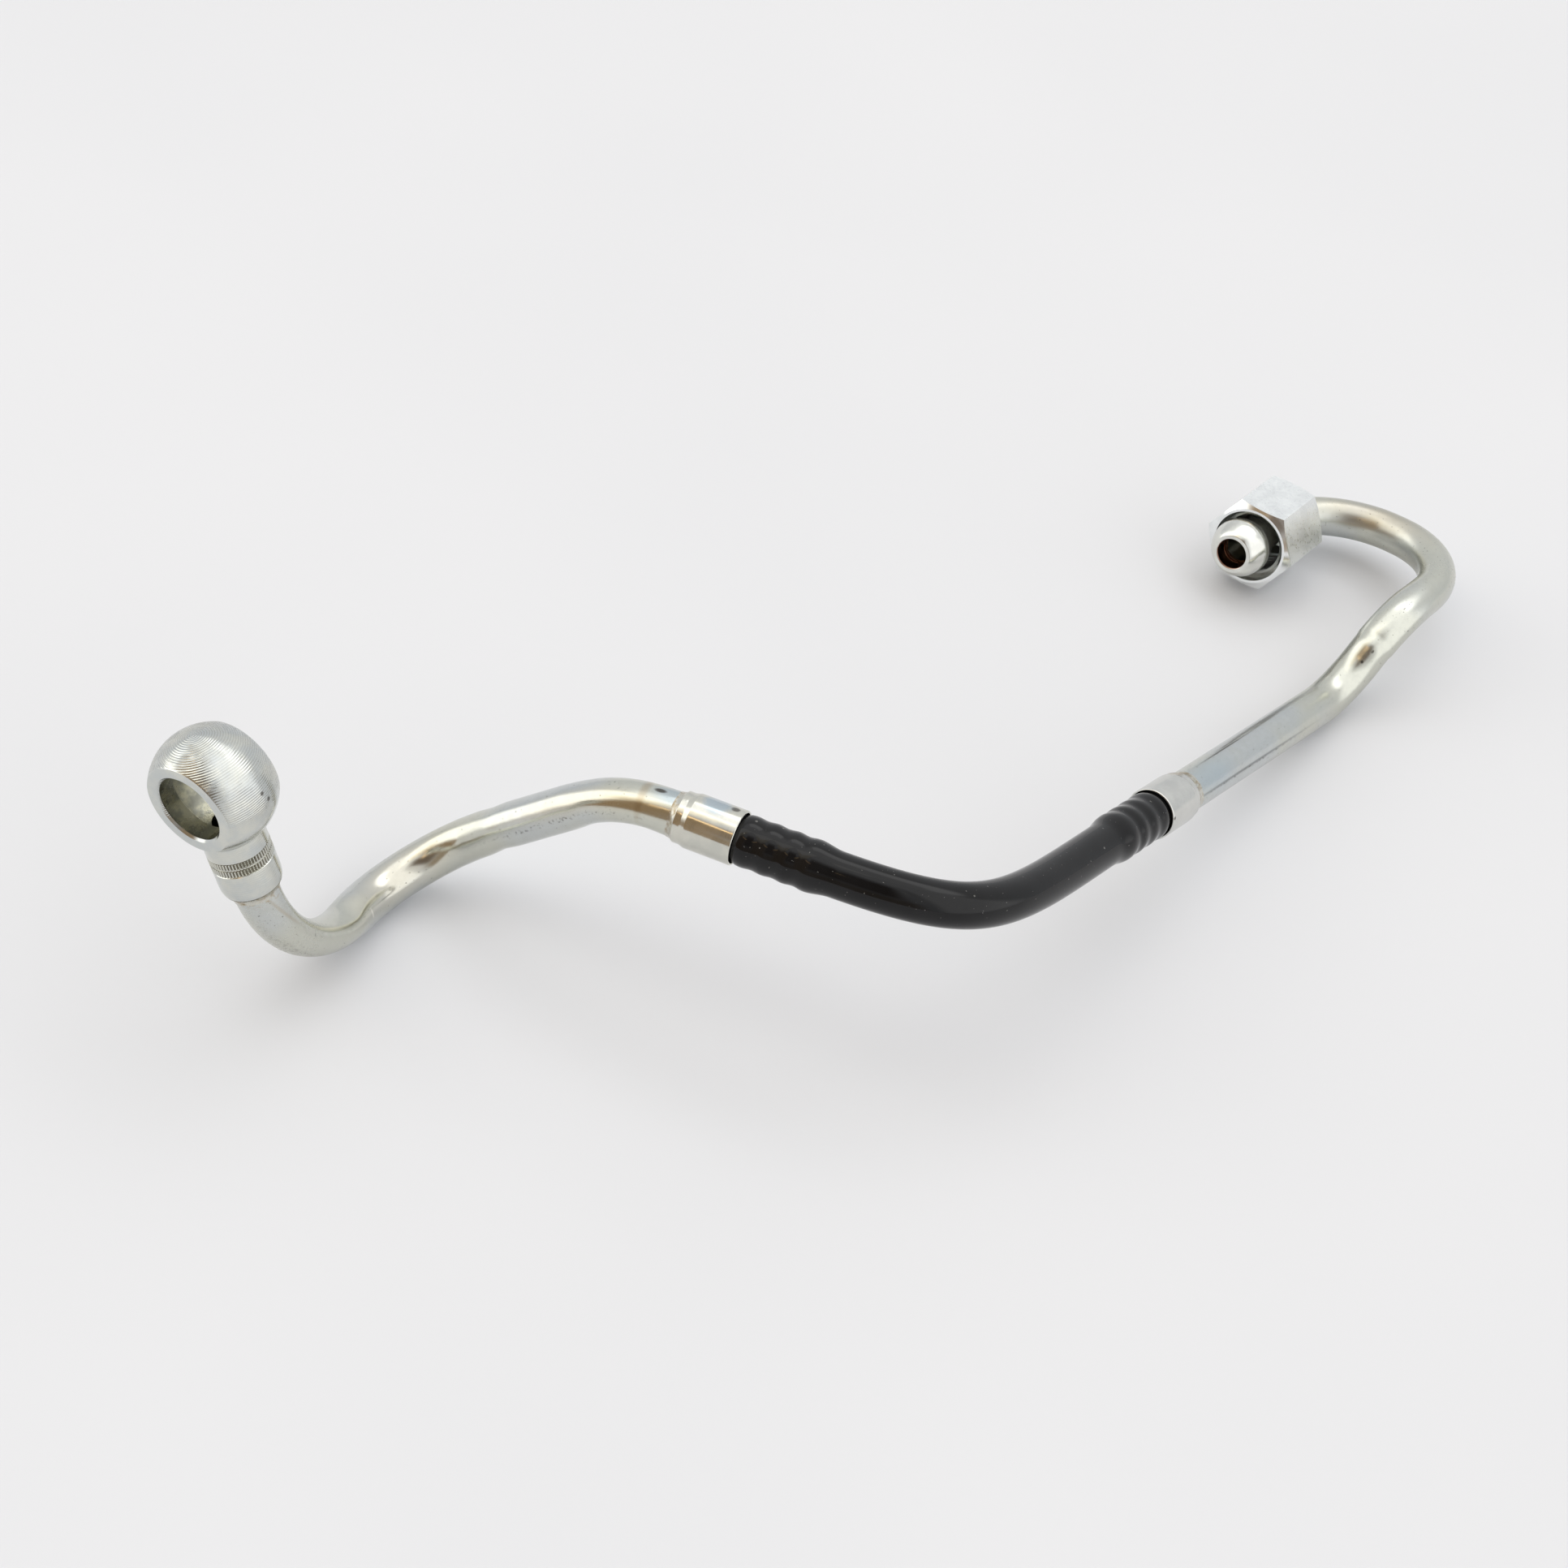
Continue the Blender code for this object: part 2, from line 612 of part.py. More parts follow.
banjo_way = unit(vec(BANJO_MOUTH) - vec(BANJO_BENDS[-1][0]))
nut_way = unit(vec(NUT_MOUTH) - vec(NUT_BENDS[0][0]))
neck_way = unit(vec(BANJO_BENDS[0][0]) - vec(EYE_CENTRE))
stub_way = unit(vec(NIPPLE_FRONT) - vec(NUT_BENDS[-1][0]))

banjo_fitting(BALL_STEEL)
tube_start = vec(EYE_CENTRE) + neck_way * (NECK_END - SOCKET_DEPTH + GAP) * MM
bent_tube("banjo_tube", Route(tube_start / MM, BANJO_BENDS, BANJO_MOUTH), vec(BANJO_MOUTH), banjo_way, ZINC)
neck_mouth = vec(EYE_CENTRE) + neck_way * (NECK_END + GAP) * MM
braze_fillet("eye_braze", axis_frame(neck_mouth, -neck_way, (1, 0, 0)), *EYE_BRAZE, BRAZE)

sleeve("banjo_sleeve", vec(BANJO_MOUTH), banjo_way, False, ZINC)
sleeve("nut_sleeve", vec(NUT_MOUTH), nut_way, True, ZINC)
FOOT = SLEEVE_BODY + SLEEVE_SHOULDER + SLEEVE_COLLAR + GAP
braze_fillet("banjo_sleeve_braze", axis_frame(vec(BANJO_MOUTH) - banjo_way * FOOT * MM, banjo_way, (0, 0, 1)),
             *SLEEVE_BRAZE, BRAZE)
braze_fillet("nut_sleeve_braze", axis_frame(vec(NUT_MOUTH) - nut_way * FOOT * MM, nut_way, (0, 0, 1)),
             *NUT_SLEEVE_BRAZE, BRAZE)
hose(vec(BANJO_MOUTH), banjo_way, vec(NUT_MOUTH), nut_way, PLASTIC)

nipple_place = axis_frame(vec(NIPPLE_FRONT), stub_way, (0, 0, 1))
tube_end = vec(NIPPLE_FRONT) - stub_way * (NIPPLE_SHOULDER + COPPER_RING + 0.4) * MM
bent_tube("nut_tube", Route(tube_end / MM, tuple(reversed(NUT_BENDS)), NUT_MOUTH), vec(NUT_MOUTH), nut_way, ZINC)
ball_nipple(nipple_place, BALL_STEEL)
copper_ring(nipple_place, COPPER)
union_nut(NUT_STEEL)

settle(ROOT, MODEL)
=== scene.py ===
"""Dressed view of the fuel line: fine surfaces, procedural metals and the photograph's camera."""

import json
import math

import bmesh
import bpy
from mathutils import Matrix, Vector, noise


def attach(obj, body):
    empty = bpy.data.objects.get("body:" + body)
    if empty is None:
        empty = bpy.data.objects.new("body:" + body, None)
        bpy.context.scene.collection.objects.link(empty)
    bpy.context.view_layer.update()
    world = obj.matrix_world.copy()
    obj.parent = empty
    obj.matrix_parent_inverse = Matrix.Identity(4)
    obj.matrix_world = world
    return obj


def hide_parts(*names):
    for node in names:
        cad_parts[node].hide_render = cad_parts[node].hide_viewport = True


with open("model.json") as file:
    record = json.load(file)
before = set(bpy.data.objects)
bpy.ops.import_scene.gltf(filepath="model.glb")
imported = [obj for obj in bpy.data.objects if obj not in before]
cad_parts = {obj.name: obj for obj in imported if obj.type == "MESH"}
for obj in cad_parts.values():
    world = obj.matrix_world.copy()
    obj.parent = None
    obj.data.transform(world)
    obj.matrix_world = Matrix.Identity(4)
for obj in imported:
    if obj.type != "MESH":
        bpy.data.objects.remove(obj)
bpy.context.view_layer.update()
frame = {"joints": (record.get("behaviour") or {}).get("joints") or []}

MM = 0.001

# The line's sizes in millimetres, as in its model. The number of the knurl's teeth, their depth and
# the thread are this script's own.
TUBE_OD = 8.0
TUBE_ID = 6.0
EYE_CENTRE = (-27.0, -20.3, 47.5)
BANJO_LEGS = (
    ((14.7, -5.5, -37.7), 24.6, 0.185),
    ((16.7, 36.8, -9.0), 16.2, 0.01),
    ((15.6, -4.7, 16.5), 36.5, 0.08),
    ((19.0, -6.6, 18.6), 23.6, 0.08),
)
BANJO_LAST_LEG = (20.6, -9.0, 1.5)
HOSE_SPAN = (77.7, 33.9, -17.2)
NUT_LEGS = (
    ((47.3, 58.0, -17.9), 16.0, 0.01),
    ((9.0, 8.7, 13.4), 17.4, 0.11),
    ((19.0, 23.2, -2.9), 17.6, 0.03),
    ((-26.9, 26.8, -7.6), 17.8, 0.02),
)
NIPPLE_LEG = (-22.4, -31.3, 7.1)
OVAL_RUN = 3.0

BALL_OD = 21.0
EYE_WIDTH = 12.9
EYE_BORE = 12.2
EYE_BORE_CHAMFER = 0.4
EYE_FACES = (-0.532, -0.842, -0.085)
GROOVE_OD = 14.0
GROOVE_WIDTH = 5.6
CROSS_BORE = 5.2
NECK_OD = 10.7
NECK_END = 20.3
NECK_ROUND_START = 18.2
NECK_RIM_OD = 9.5
NECK_FILLET = 1.0
SOCKET_DEPTH = 6.3
KNURL_BANDS = ((12.2, 13.35), (13.65, 14.8))
KNURL_TEETH = 60
KNURL_DEPTH = 0.28
KNURL_RELIEF_OD = 10.3

SLEEVE_OD = 9.8
SLEEVE_BORE = 9.0
SLEEVE_BODY = 8.6
SLEEVE_SHOULDER = 1.0
SLEEVE_COLLAR = 1.2
COLLAR_OD = 9.2
EYE_BRAZE = (1.6, 9.9)
SLEEVE_BRAZE = (1.2, 9.0)
NUT_SLEEVE_BRAZE = (2.2, 9.1)

BARB_COUNT = 4
BARB_FIRST = 1.4
BARB_PITCH = 3.8
HOSE_OD = 8.1
HOSE_NECK_OD = 8.5
HOSE_VALLEY_OD = 8.8
HOSE_RIDGE_OD = 9.15
HOSE_LAST_RIDGE_OD = 9.3
HOSE_STRAIGHT = 12.0
HOSE_HANDLES = (34.1, 40.4)

NIPPLE_BALL_OD = 12.1
NIPPLE_RING_OD = 8.0
NIPPLE_BORE = 6.2
NIPPLE_SHOULDER = 3.2
NIPPLE_LAND = 0.7
NIPPLE_NECK_OD = 10.0
NIPPLE_LENGTH = 9.5
COPPER_RING = 0.8

NUT_AF = 17.0
NUT_LENGTH = 17.6
NUT_FACE_OD = 16.0
NUT_CHAMFER = 30.0
THREAD_MAJOR = 14.0
THREAD_MINOR = 12.4
THREAD_PITCH = 1.5
THREAD_START = -0.35
MOUTH_OD = 15.0
REAR_BORE = 9.8
REAR_LENGTH = 3.0
NUT_STANDOFF = 5.95
NUT_SHIFT = (0.95, 0.75)
NUT_ROLL = 32.0

# Zinc plating, the marks on it, and colours for painted reflections and a painted highlight
ZINC_WARM = (0.59, 0.595, 0.53)
ZINC_COOL = (0.56, 0.585, 0.585)
ZINC_DULL = (0.44, 0.44, 0.40)
DIRT = (0.07, 0.06, 0.05)
STREAK = (0.17, 0.18, 0.18)
TAN = (0.40, 0.31, 0.19)
# Gold for painted reflections of the warm surroundings on the tube
PAINTED_GOLD_REFLECTION = (0.70, 0.60, 0.40)
PALE_BLUE = (0.44, 0.54, 0.62)
# Near white for a painted highlight
PAINTED_HIGHLIGHT = (0.95, 0.94, 0.88)
BORE_RUST = (0.22, 0.10, 0.065)
RING_PITCH = 0.42

# The banjo eye's surface. Each pair says in millimetres where a look is absent and where it is full.
EYE_COOL = (0.56, 0.585, 0.575)
EYE_WARM = (0.66, 0.665, 0.61)
RING_SHADE = (0.33, 0.32, 0.29)
KNURL_DUST = (0.42, 0.39, 0.29)
# Slots between the knurl's teeth: painted shade and dirt
KNURL_SLOT_SHADE_AND_DIRT = (0.10, 0.085, 0.05)
# Inside the bore: mottled colours of painted shade and a painted green-tan reflection
BORE_SHADE_AND_REFLECTION_PALE = (0.46, 0.44, 0.31)
BORE_SHADE_AND_REFLECTION_DEEP = (0.25, 0.25, 0.20)
BORE_SHADE_RADII = (7.25, 7.05)      # from the bore's axis
BORE_SHADE_DEPTHS = (6.1, 5.8)       # from the middle of the eye, along the bore
BALL_TOP = (9.6, 9.2)           # height at which the ball's rings end
NECK_RINGS = (9.4, 9.8)         # height from which the neck has faint rings
RING_END = (21.5, 17.0)         # run from the ball's pole at which its rings end

# The nut's surface: heights and radii of its flats, and heights at which its smooth mouth turns rougher
NUT_DARK = (0.80, 0.82, 0.82)
NUT_LIGHT = (0.88, 0.90, 0.895)
FLAT_HEIGHTS = (-0.7, -1.5)
FLAT_RADII = (7.8, 8.2)
MOUTH_HEIGHTS = (-0.45, -0.7)

# The hose and the floor
HOSE_BLACK = (0.0035, 0.0035, 0.004)
HOSE_GREY = (0.006, 0.006, 0.0065)
DUST = (0.42, 0.41, 0.39)
FLOOR_LOW = (0.712, 0.720, 0.742)
FLOOR_HIGH = (0.728, 0.735, 0.756)
FLOOR_SIZE = 6.0                # metres, each way from the middle
FLOOR_DROP = 0.00005            # metres below the line's lowest point

# Cuts in the eye fitting and tube ends, in millimetres
SLAB = 60.0                     # wider than the ball
CROSS_CUT = (3.0, 16.0)         # from inside the bore into the socket
SOCKET_CUT_TOP = 24.0           # past the neck's end
SOCKET_PLAY = 0.5               # between the tube and its socket, across
TUBE_TUCK = 6.0                 # how far a tube's hidden end stays short of the sleeve's mouth
TUBE_STANDOFF = 0.3             # from the socket's floor to the tube's end
HOOK_END = 1.4                  # from the nipple's shoulder to the tube's end
HOOK_BORE_DEPTH = 20.0          # the tube's bore is cut this far in from its open end

# Marks on a tube, with painted reflections and a painted highlight among them: colour, strength, place along
# (mm) and around (degrees), half sizes, softness, grainy
BANJO_MARKS = {
    "neck_tan": (TAN, 0.5, 7.4, 40.0, 1.1, 120.0, 0.6, True),
    "inner_bend": (TAN, 0.35, 11.5, 40.0, 4.5, 5.0, 0.7, False),
    "neck_specks": (DIRT, 0.28, 21.0, 125.0, 7.0, 16.0, 0.8, True),
    # A scratch line past the first bend, painted near white as a highlight along it
    "bend_scratch_painted_highlight": (PAINTED_HIGHLIGHT, 0.7, 42.4, 60.0, 0.22, 13.0, 0.4, False),
    # Painted gold reflection in the bright patch past the first bend
    "bend_painted_gold_reflection": (PAINTED_GOLD_REFLECTION, 0.35, 54.0, 25.0, 13.0, 55.0, 0.8, False),
    "pit_line": (DIRT, 0.6, 93.0, 84.0, 15.0, 6.0, 0.6, True),
    # Painted gold reflection on the crest
    "crest_painted_gold_reflection": (PAINTED_GOLD_REFLECTION, 0.4, 98.0, 45.0, 14.0, 26.0, 0.8, False),
    "sleeve_blue": (PALE_BLUE, 0.55, 114.0, -5.0, 3.4, 34.0, 0.5, False),
    "tan_ring_a": (TAN, 0.45, 109.0, 10.0, 0.6, 75.0, 0.7, False),
    "tan_ring_b": (TAN, 0.45, 116.6, 10.0, 0.5, 90.0, 0.7, False),
    "dark_dot": (DIRT, 0.9, 111.3, -6.0, 0.9, 7.0, 0.4, False),
}
NUT_MARKS = {
    "sleeve_blue": (PALE_BLUE, 0.5, 18.0, 25.0, 7.0, 42.0, 0.7, False),
    "upper_streak": (DIRT, 0.75, 28.0, -17.0, 8.0, 2.6, 0.7, False),
    "long_streak": (STREAK, 0.75, 31.0, 66.0, 21.0, 3.6, 0.8, False),
    "long_pits": (DIRT, 0.8, 34.0, 70.0, 16.0, 3.0, 0.7, True),
    "bend_spot_a": (DIRT, 0.8, 83.0, 22.0, 0.4, 4.0, 0.4, False),
    "bend_spot_b": (DIRT, 0.7, 86.0, 28.0, 0.3, 3.0, 0.4, False),
    "scratch": (DIRT, 0.6, 95.5, 11.0, 2.6, 1.2, 0.5, True),
    # The brown patch on the hook is a painted reflection of the brown surroundings
    "hook_painted_brown_reflection": (TAN, 0.4, 138.0, -15.0, 12.0, 36.0, 0.9, False),
}
SLEEVE_SMUDGES = ((DIRT, 0.8, 4.66, -1.5, -1.8, 0.75), (PALE_BLUE, 0.7, 4.4, -1.2, -5.0, 2.4))
SECOND_SMUDGES = ((DIRT, 0.8, 1.97, -4.4, -0.4, 0.35), (TAN, 0.5, 4.0, 2.5, -10.4, 1.6))
EYE_NICKS = ((-0.62, -10.45, -0.69, 0.34), (-1.54, -10.33, 1.05, 0.38))
HOSE_DUST = ((2.3, -10.0, 0.22), (6.8, -25.0, 0.18), (78.1, 35.0, 0.2), (40.0, 20.0, 0.16))

# The camera: its place in the bend tables' frame, and the directions to its right and up
CAMERA_PLACE = (6.76, -377.15, 418.56)
CAMERA_RIGHT = (0.9877, 0.0, 0.1564)
CAMERA_UP = (-0.1100, 0.7108, 0.6947)
LENS = 72.76
SENSOR = 36.0

# Studio zones: colour, azimuth and half width, lowest and highest elevation, softness, in degrees
SKY_STRENGTH = 1.0
WALL = (0.74, 0.755, 0.775)
CEILING = (0.95, 0.95, 0.95)
SKY_ZONES = (
    ("overhead", (1.55, 1.55, 1.55), 90.0, 100.0, 50.0, 130.0, 7.0),
    ("zenith", (1.4, 1.4, 1.4), 270.0, 100.0, 73.0, 130.0, 6.0),
    ("far_bright", (2.3, 2.3, 2.3), 60.0, 42.0, 50.0, 66.0, 4.0),
    ("left_bright", (1.95, 1.93, 1.86), 172.0, 24.0, -30.0, 130.0, 6.0),
    ("left_warm", (1.45, 1.32, 1.08), 190.0, 12.0, 34.0, 72.0, 8.0),
    ("right_bright", (1.45, 1.45, 1.45), 332.0, 34.0, 0.0, 130.0, 7.0),
    ("dim_low", (0.38, 0.31, 0.24), 253.0, 29.0, -30.0, 22.0, 9.0),
    ("dim_high", (0.19, 0.15, 0.12), 251.0, 22.0, 22.0, 68.0, 9.0),
    ("warm_side", (0.35, 0.25, 0.155), 214.0, 20.0, -30.0, 54.0, 9.0),
    ("warm_strip", (3.4, 2.3, 1.15), 222.0, 16.0, 49.0, 51.0, 1.5),
)


def table(point):
    return Vector(point) * MM


def unit(vector):
    return Vector(vector).normalized()


def bend_table(start, legs):
    """Walk the legs from start: the corner points, each with its radius and flattening."""
    corners, corner = [], Vector(start)
    for leg, radius, flat in legs:
        corner = corner + Vector(leg)
        corners.append((tuple(corner), radius, flat))
    return tuple(corners)


def step(start, leg):
    return tuple(Vector(start) + Vector(leg))


BANJO_BENDS = bend_table(EYE_CENTRE, BANJO_LEGS)
BANJO_MOUTH = step(BANJO_BENDS[-1][0], BANJO_LAST_LEG)
NUT_MOUTH = step(BANJO_MOUTH, HOSE_SPAN)
NUT_BENDS = bend_table(NUT_MOUTH, NUT_LEGS)
NIPPLE_FRONT = step(NUT_BENDS[-1][0], NIPPLE_LEG)


def axis_frame(origin, z_axis, x_hint):
    """A placement whose Z runs along z_axis and whose X leans towards x_hint."""
    z = unit(z_axis)
    x = Vector(x_hint)
    x = (x - z * x.dot(z)).normalized()
    rotation = Matrix((x, z.cross(x), z)).transposed()
    return Matrix.Translation(origin) @ rotation.to_4x4()


def nut_place():
    """The nut's placement before the whole line is moved to its origin."""
    stub = unit(table(NUT_BENDS[-1][0]) - table(NIPPLE_FRONT))
    turn = unit(table(NUT_BENDS[-2][0]) - table(NUT_BENDS[-1][0]))
    aside = (turn - stub * turn.dot(stub)).normalized()
    front = table(NIPPLE_FRONT) + stub * NUT_STANDOFF * MM + aside * NUT_SHIFT[0] * MM
    rear = table(NIPPLE_FRONT) + stub * (NUT_STANDOFF + NUT_LENGTH) * MM + aside * NUT_SHIFT[1] * MM
    level = Vector((0, 0, 1)).cross(stub)
    return axis_frame(front, front - rear, level) @ Matrix.Rotation(math.radians(NUT_ROLL), 4, "Z")


# The nut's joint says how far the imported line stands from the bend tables' own zero
SHIFT = Vector(frame["joints"][0]["pos_m"]) - nut_place() @ Vector((0, 0, -NUT_LENGTH / 2 * MM))


def spot(point):
    return table(point) + SHIFT


banjo_way = unit(table(BANJO_MOUTH) - table(BANJO_BENDS[-1][0]))
nut_way = unit(table(NUT_MOUTH) - table(NUT_BENDS[0][0]))
neck_way = unit(table(BANJO_BENDS[0][0]) - table(EYE_CENTRE))
stub_way = unit(table(NIPPLE_FRONT) - table(NUT_BENDS[-1][0]))


# Mesh helpers

COLLECTION = bpy.data.collections.new("dressed")
bpy.context.scene.collection.children.link(COLLECTION)


def add_object(name, mesh, place=None):
    item = bpy.data.objects.new(name, mesh)
    COLLECTION.objects.link(item)
    if place is not None:
        item.matrix_world = place
    return item


def stand(item):
    """Keep each vertex's place in the piece's own frame for its material, then move the mesh to its place."""
    own = item.data.attributes.new("own", "FLOAT_VECTOR", "POINT")
    for vertex, value in zip(item.data.vertices, own.data):
        value.vector = vertex.co
    item.data.transform(item.matrix_world)
    item.matrix_world = Matrix()


def finished(item, body, look, slot, *nodes, angle=32.0):
    """Smooth the piece, give it its material and let it stand for its nodes."""
    stand(item)
    item.data.materials.clear()
    item.data.materials.append(look)
    item.data.shade_smooth()
    item.data.set_sharp_from_angle(angle=math.radians(angle))
    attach(item, body)
    if nodes:
        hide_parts(*nodes)
    return item


def apply_modifiers(item):
    """The evaluated shape becomes the mesh."""
    evaluated = item.evaluated_get(bpy.context.evaluated_depsgraph_get())
    mesh = bpy.data.meshes.new_from_object(evaluated)
    item.modifiers.clear()
    item.data = mesh
    return item


def turned(name, profile, steps, closed, place=None):
    """Turn a (radius, height) outline in millimetres about Z."""
    mesh = bpy.data.meshes.new(name)
    points = [(radius * MM, 0.0, height * MM) for radius, height in profile]
    edges = [(i, i + 1) for i in range(len(points) - 1)]
    if closed:
        edges.append((len(points) - 1, 0))
    mesh.from_pydata(points, edges, [])
    item = add_object(name, mesh, place)
    screw = item.modifiers.new("turn", "SCREW")
    screw.axis = "Z"
    screw.angle = math.tau
    screw.steps = steps
    screw.render_steps = steps
    screw.use_merge_vertices = True
    screw.merge_threshold = 0.000002
    return apply_modifiers(item)


def arc(centre, radius, start, end, count):
    points = []
    for i in range(count + 1):
        angle = math.radians(start + (end - start) * i / count)
        points.append((centre[0] + radius * math.cos(angle), centre[1] + radius * math.sin(angle)))
    return points


def rounded(outline, radius, count=3):
    """Round the corners of a closed (radius, height) outline a little."""
    result = []
    total = len(outline)
    for i, here in enumerate(outline):
        before, after = outline[i - 1], outline[(i + 1) % total]
        a, b = Vector(before) - Vector(here), Vector(after) - Vector(here)
        if a.length < 1e-6 or b.length < 1e-6 or a.angle(b) > math.radians(172):
            result.append(here)
            continue
        reach = min(radius, 0.4 * a.length, 0.4 * b.length)
        p, q = Vector(here) + a.normalized() * reach, Vector(here) + b.normalized() * reach
        for k in range(count + 1):
            t = k / count
            point = p * (1 - t) ** 2 + Vector(here) * 2 * t * (1 - t) + q * t * t
            result.append(tuple(point))
    return result


def boolean(item, cutter, operation="DIFFERENCE"):
    modifier = item.modifiers.new("cut", "BOOLEAN")
    modifier.operation = operation
    modifier.solver = "EXACT"
    modifier.object = cutter
    apply_modifiers(item)
    bpy.data.objects.remove(cutter, do_unlink=True)


def prism(name, diameter, low, high, segments, place):
    mesh = bpy.data.meshes.new(name)
    work = bmesh.new()
    bmesh.ops.create_cone(work, cap_ends=True, segments=segments, radius1=diameter / 2 * MM,
                          radius2=diameter / 2 * MM, depth=(high - low) * MM)
    bmesh.ops.translate(work, verts=work.verts, vec=(0, 0, (low + high) / 2 * MM))
    work.to_mesh(mesh)
    work.free()
    return add_object(name, mesh, place)


# Bent tubes

class Path:
    """Straight legs and tangent arcs, read by the distance along them."""

    def __init__(self, start, bends, end):
        corners = [start] + [spot(bend[0]) for bend in bends] + [end]
        ways = [unit(b - a) for a, b in zip(corners, corners[1:])]
        tangents = [0.0] + [radius * MM * math.tan(a.angle(b) / 2)
                            for (_, radius, _), a, b in zip(bends, ways, ways[1:])] + [0.0]
        self.legs, self.arcs, self.length = [], [], 0.0
        for i, way in enumerate(ways):
            straight = (corners[i + 1] - corners[i]).length - tangents[i] - tangents[i + 1]
            self.legs.append((self.length, self.length + straight, corners[i] + way * tangents[i], way))
            self.length += straight
            if i < len(bends):
                radius = bends[i][1] * MM
                turn = way.angle(ways[i + 1])
                inward = (ways[i + 1] - way * ways[i + 1].dot(way)).normalized()
                centre = corners[i + 1] - way * tangents[i + 1] + inward * radius
                self.arcs.append((self.length, self.length + radius * turn, centre, inward, way, radius,
                                  bends[i][2]))
                self.length += radius * turn

    def at(self, s):
        for start, end, centre, inward, way, radius, _ in self.arcs:
            if start <= s <= end:
                angle = (s - start) / radius
                toward = inward * math.cos(angle) - way * math.sin(angle)
                return centre - toward * radius, way * math.cos(angle) + inward * math.sin(angle)
        best = min(self.legs, key=lambda leg: max(leg[0] - s, s - leg[1], 0.0))
        return best[2] + best[3] * (s - best[0]), best[3]

    def flattening(self, s):
        """(inward direction, amount): full inside a bend, fading over OVAL_RUN each side."""
        run = OVAL_RUN * MM
        for start, end, _, inward, way, radius, flat in self.arcs:
            if start - run < s < end + run:
                angle = min(max(s - start, 0.0), end - start) / radius
                toward = inward * math.cos(angle) - way * math.sin(angle)
                rise = min(1.0, max(0.0, (s - start + run) / (2 * run)))
                fall = min(1.0, max(0.0, (end + run - s) / (2 * run)))
                level = min(rise, fall)
                return toward, flat * level * level * (3 - 2 * level)
        return None, 0.0


def swept(name, stations, sides):
    """Skin a list of (point, way, radius, inward, flat, along) with rings; angle 0 is the top.

    The mesh carries two values for its material: along, in millimetres, and around, in degrees.
    """
    work = bmesh.new()
    along_layer = work.verts.layers.float.new("along")
    around_layer = work.verts.layers.float.new("around")
    rings = []
    for point, way, radius, inward, flat, along in stations:
        top = (Vector((0, 0, 1)) - way * way.z).normalized()
        side = way.cross(top)
        ring = []
        for k in range(sides):
            angle = math.tau * k / sides
            offset = (top * math.cos(angle) + side * math.sin(angle)) * radius
            if flat:
                in_plane = inward * offset.dot(inward)
                offset = in_plane * (1 - flat) + (offset - in_plane) * (1 + 0.4 * flat)
            vertex = work.verts.new(point + offset)
            vertex[along_layer] = along
            vertex[around_layer] = math.degrees(angle) if k <= sides / 2 else math.degrees(angle) - 360
            ring.append(vertex)
        rings.append(ring)
    for a, b in zip(rings, rings[1:]):
        for k in range(sides):
            n = (k + 1) % sides
            work.faces.new((a[k], a[n], b[n], b[k]))
    work.faces.new(rings[0][::-1])
    work.faces.new(rings[-1])
    bmesh.ops.recalc_face_normals(work, faces=work.faces)
    mesh = bpy.data.meshes.new(name)
    work.to_mesh(mesh)
    work.free()
    return add_object(name, mesh)


def tube_stations(path, start, end, step=1.0):
    """Stations every step millimetres from start to end, both measured along the path in mm."""
    count = max(2, round((end - start) / step))
    stations = []
    for i in range(count + 1):
        along = start + (end - start) * i / count
        point, way = path.at(along * MM)
        inward, flat = path.flattening(along * MM)
        stations.append((point, way, TUBE_OD / 2 * MM, inward, flat, along))
    return stations


# Hose

def hose_radius(x):
    """Outer radius at x past a sleeve's mouth: the barbs raise it in rounded ridges."""
    neck, valley, free = HOSE_NECK_OD / 2, HOSE_VALLEY_OD / 2, HOSE_OD / 2
    if x < 0.3:
        return neck
    last = BARB_FIRST + (BARB_COUNT - 1) * BARB_PITCH + 0.4
    ridge = HOSE_RIDGE_OD / 2 + (HOSE_LAST_RIDGE_OD - HOSE_RIDGE_OD) / 2 * min(1, x / last) ** 4
    if x <= last:
        wave = 0.5 + 0.5 * math.cos(math.tau * (x - last) / BARB_PITCH)
        radius = valley + (ridge - valley) * wave
        return min(radius, neck + (x - 0.3) * 0.5)
    fall = min(1.0, (x - last) / 4.5)
    return ridge + (free - ridge) * (fall * fall * (3 - 2 * fall))


def hose_stations():
    start, leave, end, arrive = spot(BANJO_MOUTH), banjo_way, spot(NUT_MOUTH), nut_way
    reach = HOSE_STRAIGHT * MM
    a, b = start + leave * reach, end + arrive * reach
    c, d = a + leave * HOSE_HANDLES[0] * MM, b + arrive * HOSE_HANDLES[1] * MM
    tuck = SLEEVE_BODY - 0.7
    points = [start + leave * (-tuck + (tuck + HOSE_STRAIGHT) * i / 80) * MM for i in range(80)]
    for i in range(121):
        t = i / 120
        points.append(a * (1 - t) ** 3 + c * 3 * (1 - t) ** 2 * t + d * 3 * (1 - t) * t * t + b * t ** 3)
    points += [end + arrive * (HOSE_STRAIGHT - (tuck + HOSE_STRAIGHT) * i / 80) * MM for i in range(1, 81)]
    runs = [0.0]
    for p, q in zip(points, points[1:]):
        runs.append(runs[-1] + (q - p).length / MM)
    stations = []
    for i, point in enumerate(points):
        way = unit(points[min(i + 1, len(points) - 1)] - points[max(i - 1, 0)])
        x = min(runs[i], runs[-1] - runs[i]) - tuck
        stations.append((point, way, hose_radius(x) * MM, None, 0.0, runs[i] - tuck))
    return stations


# Materials

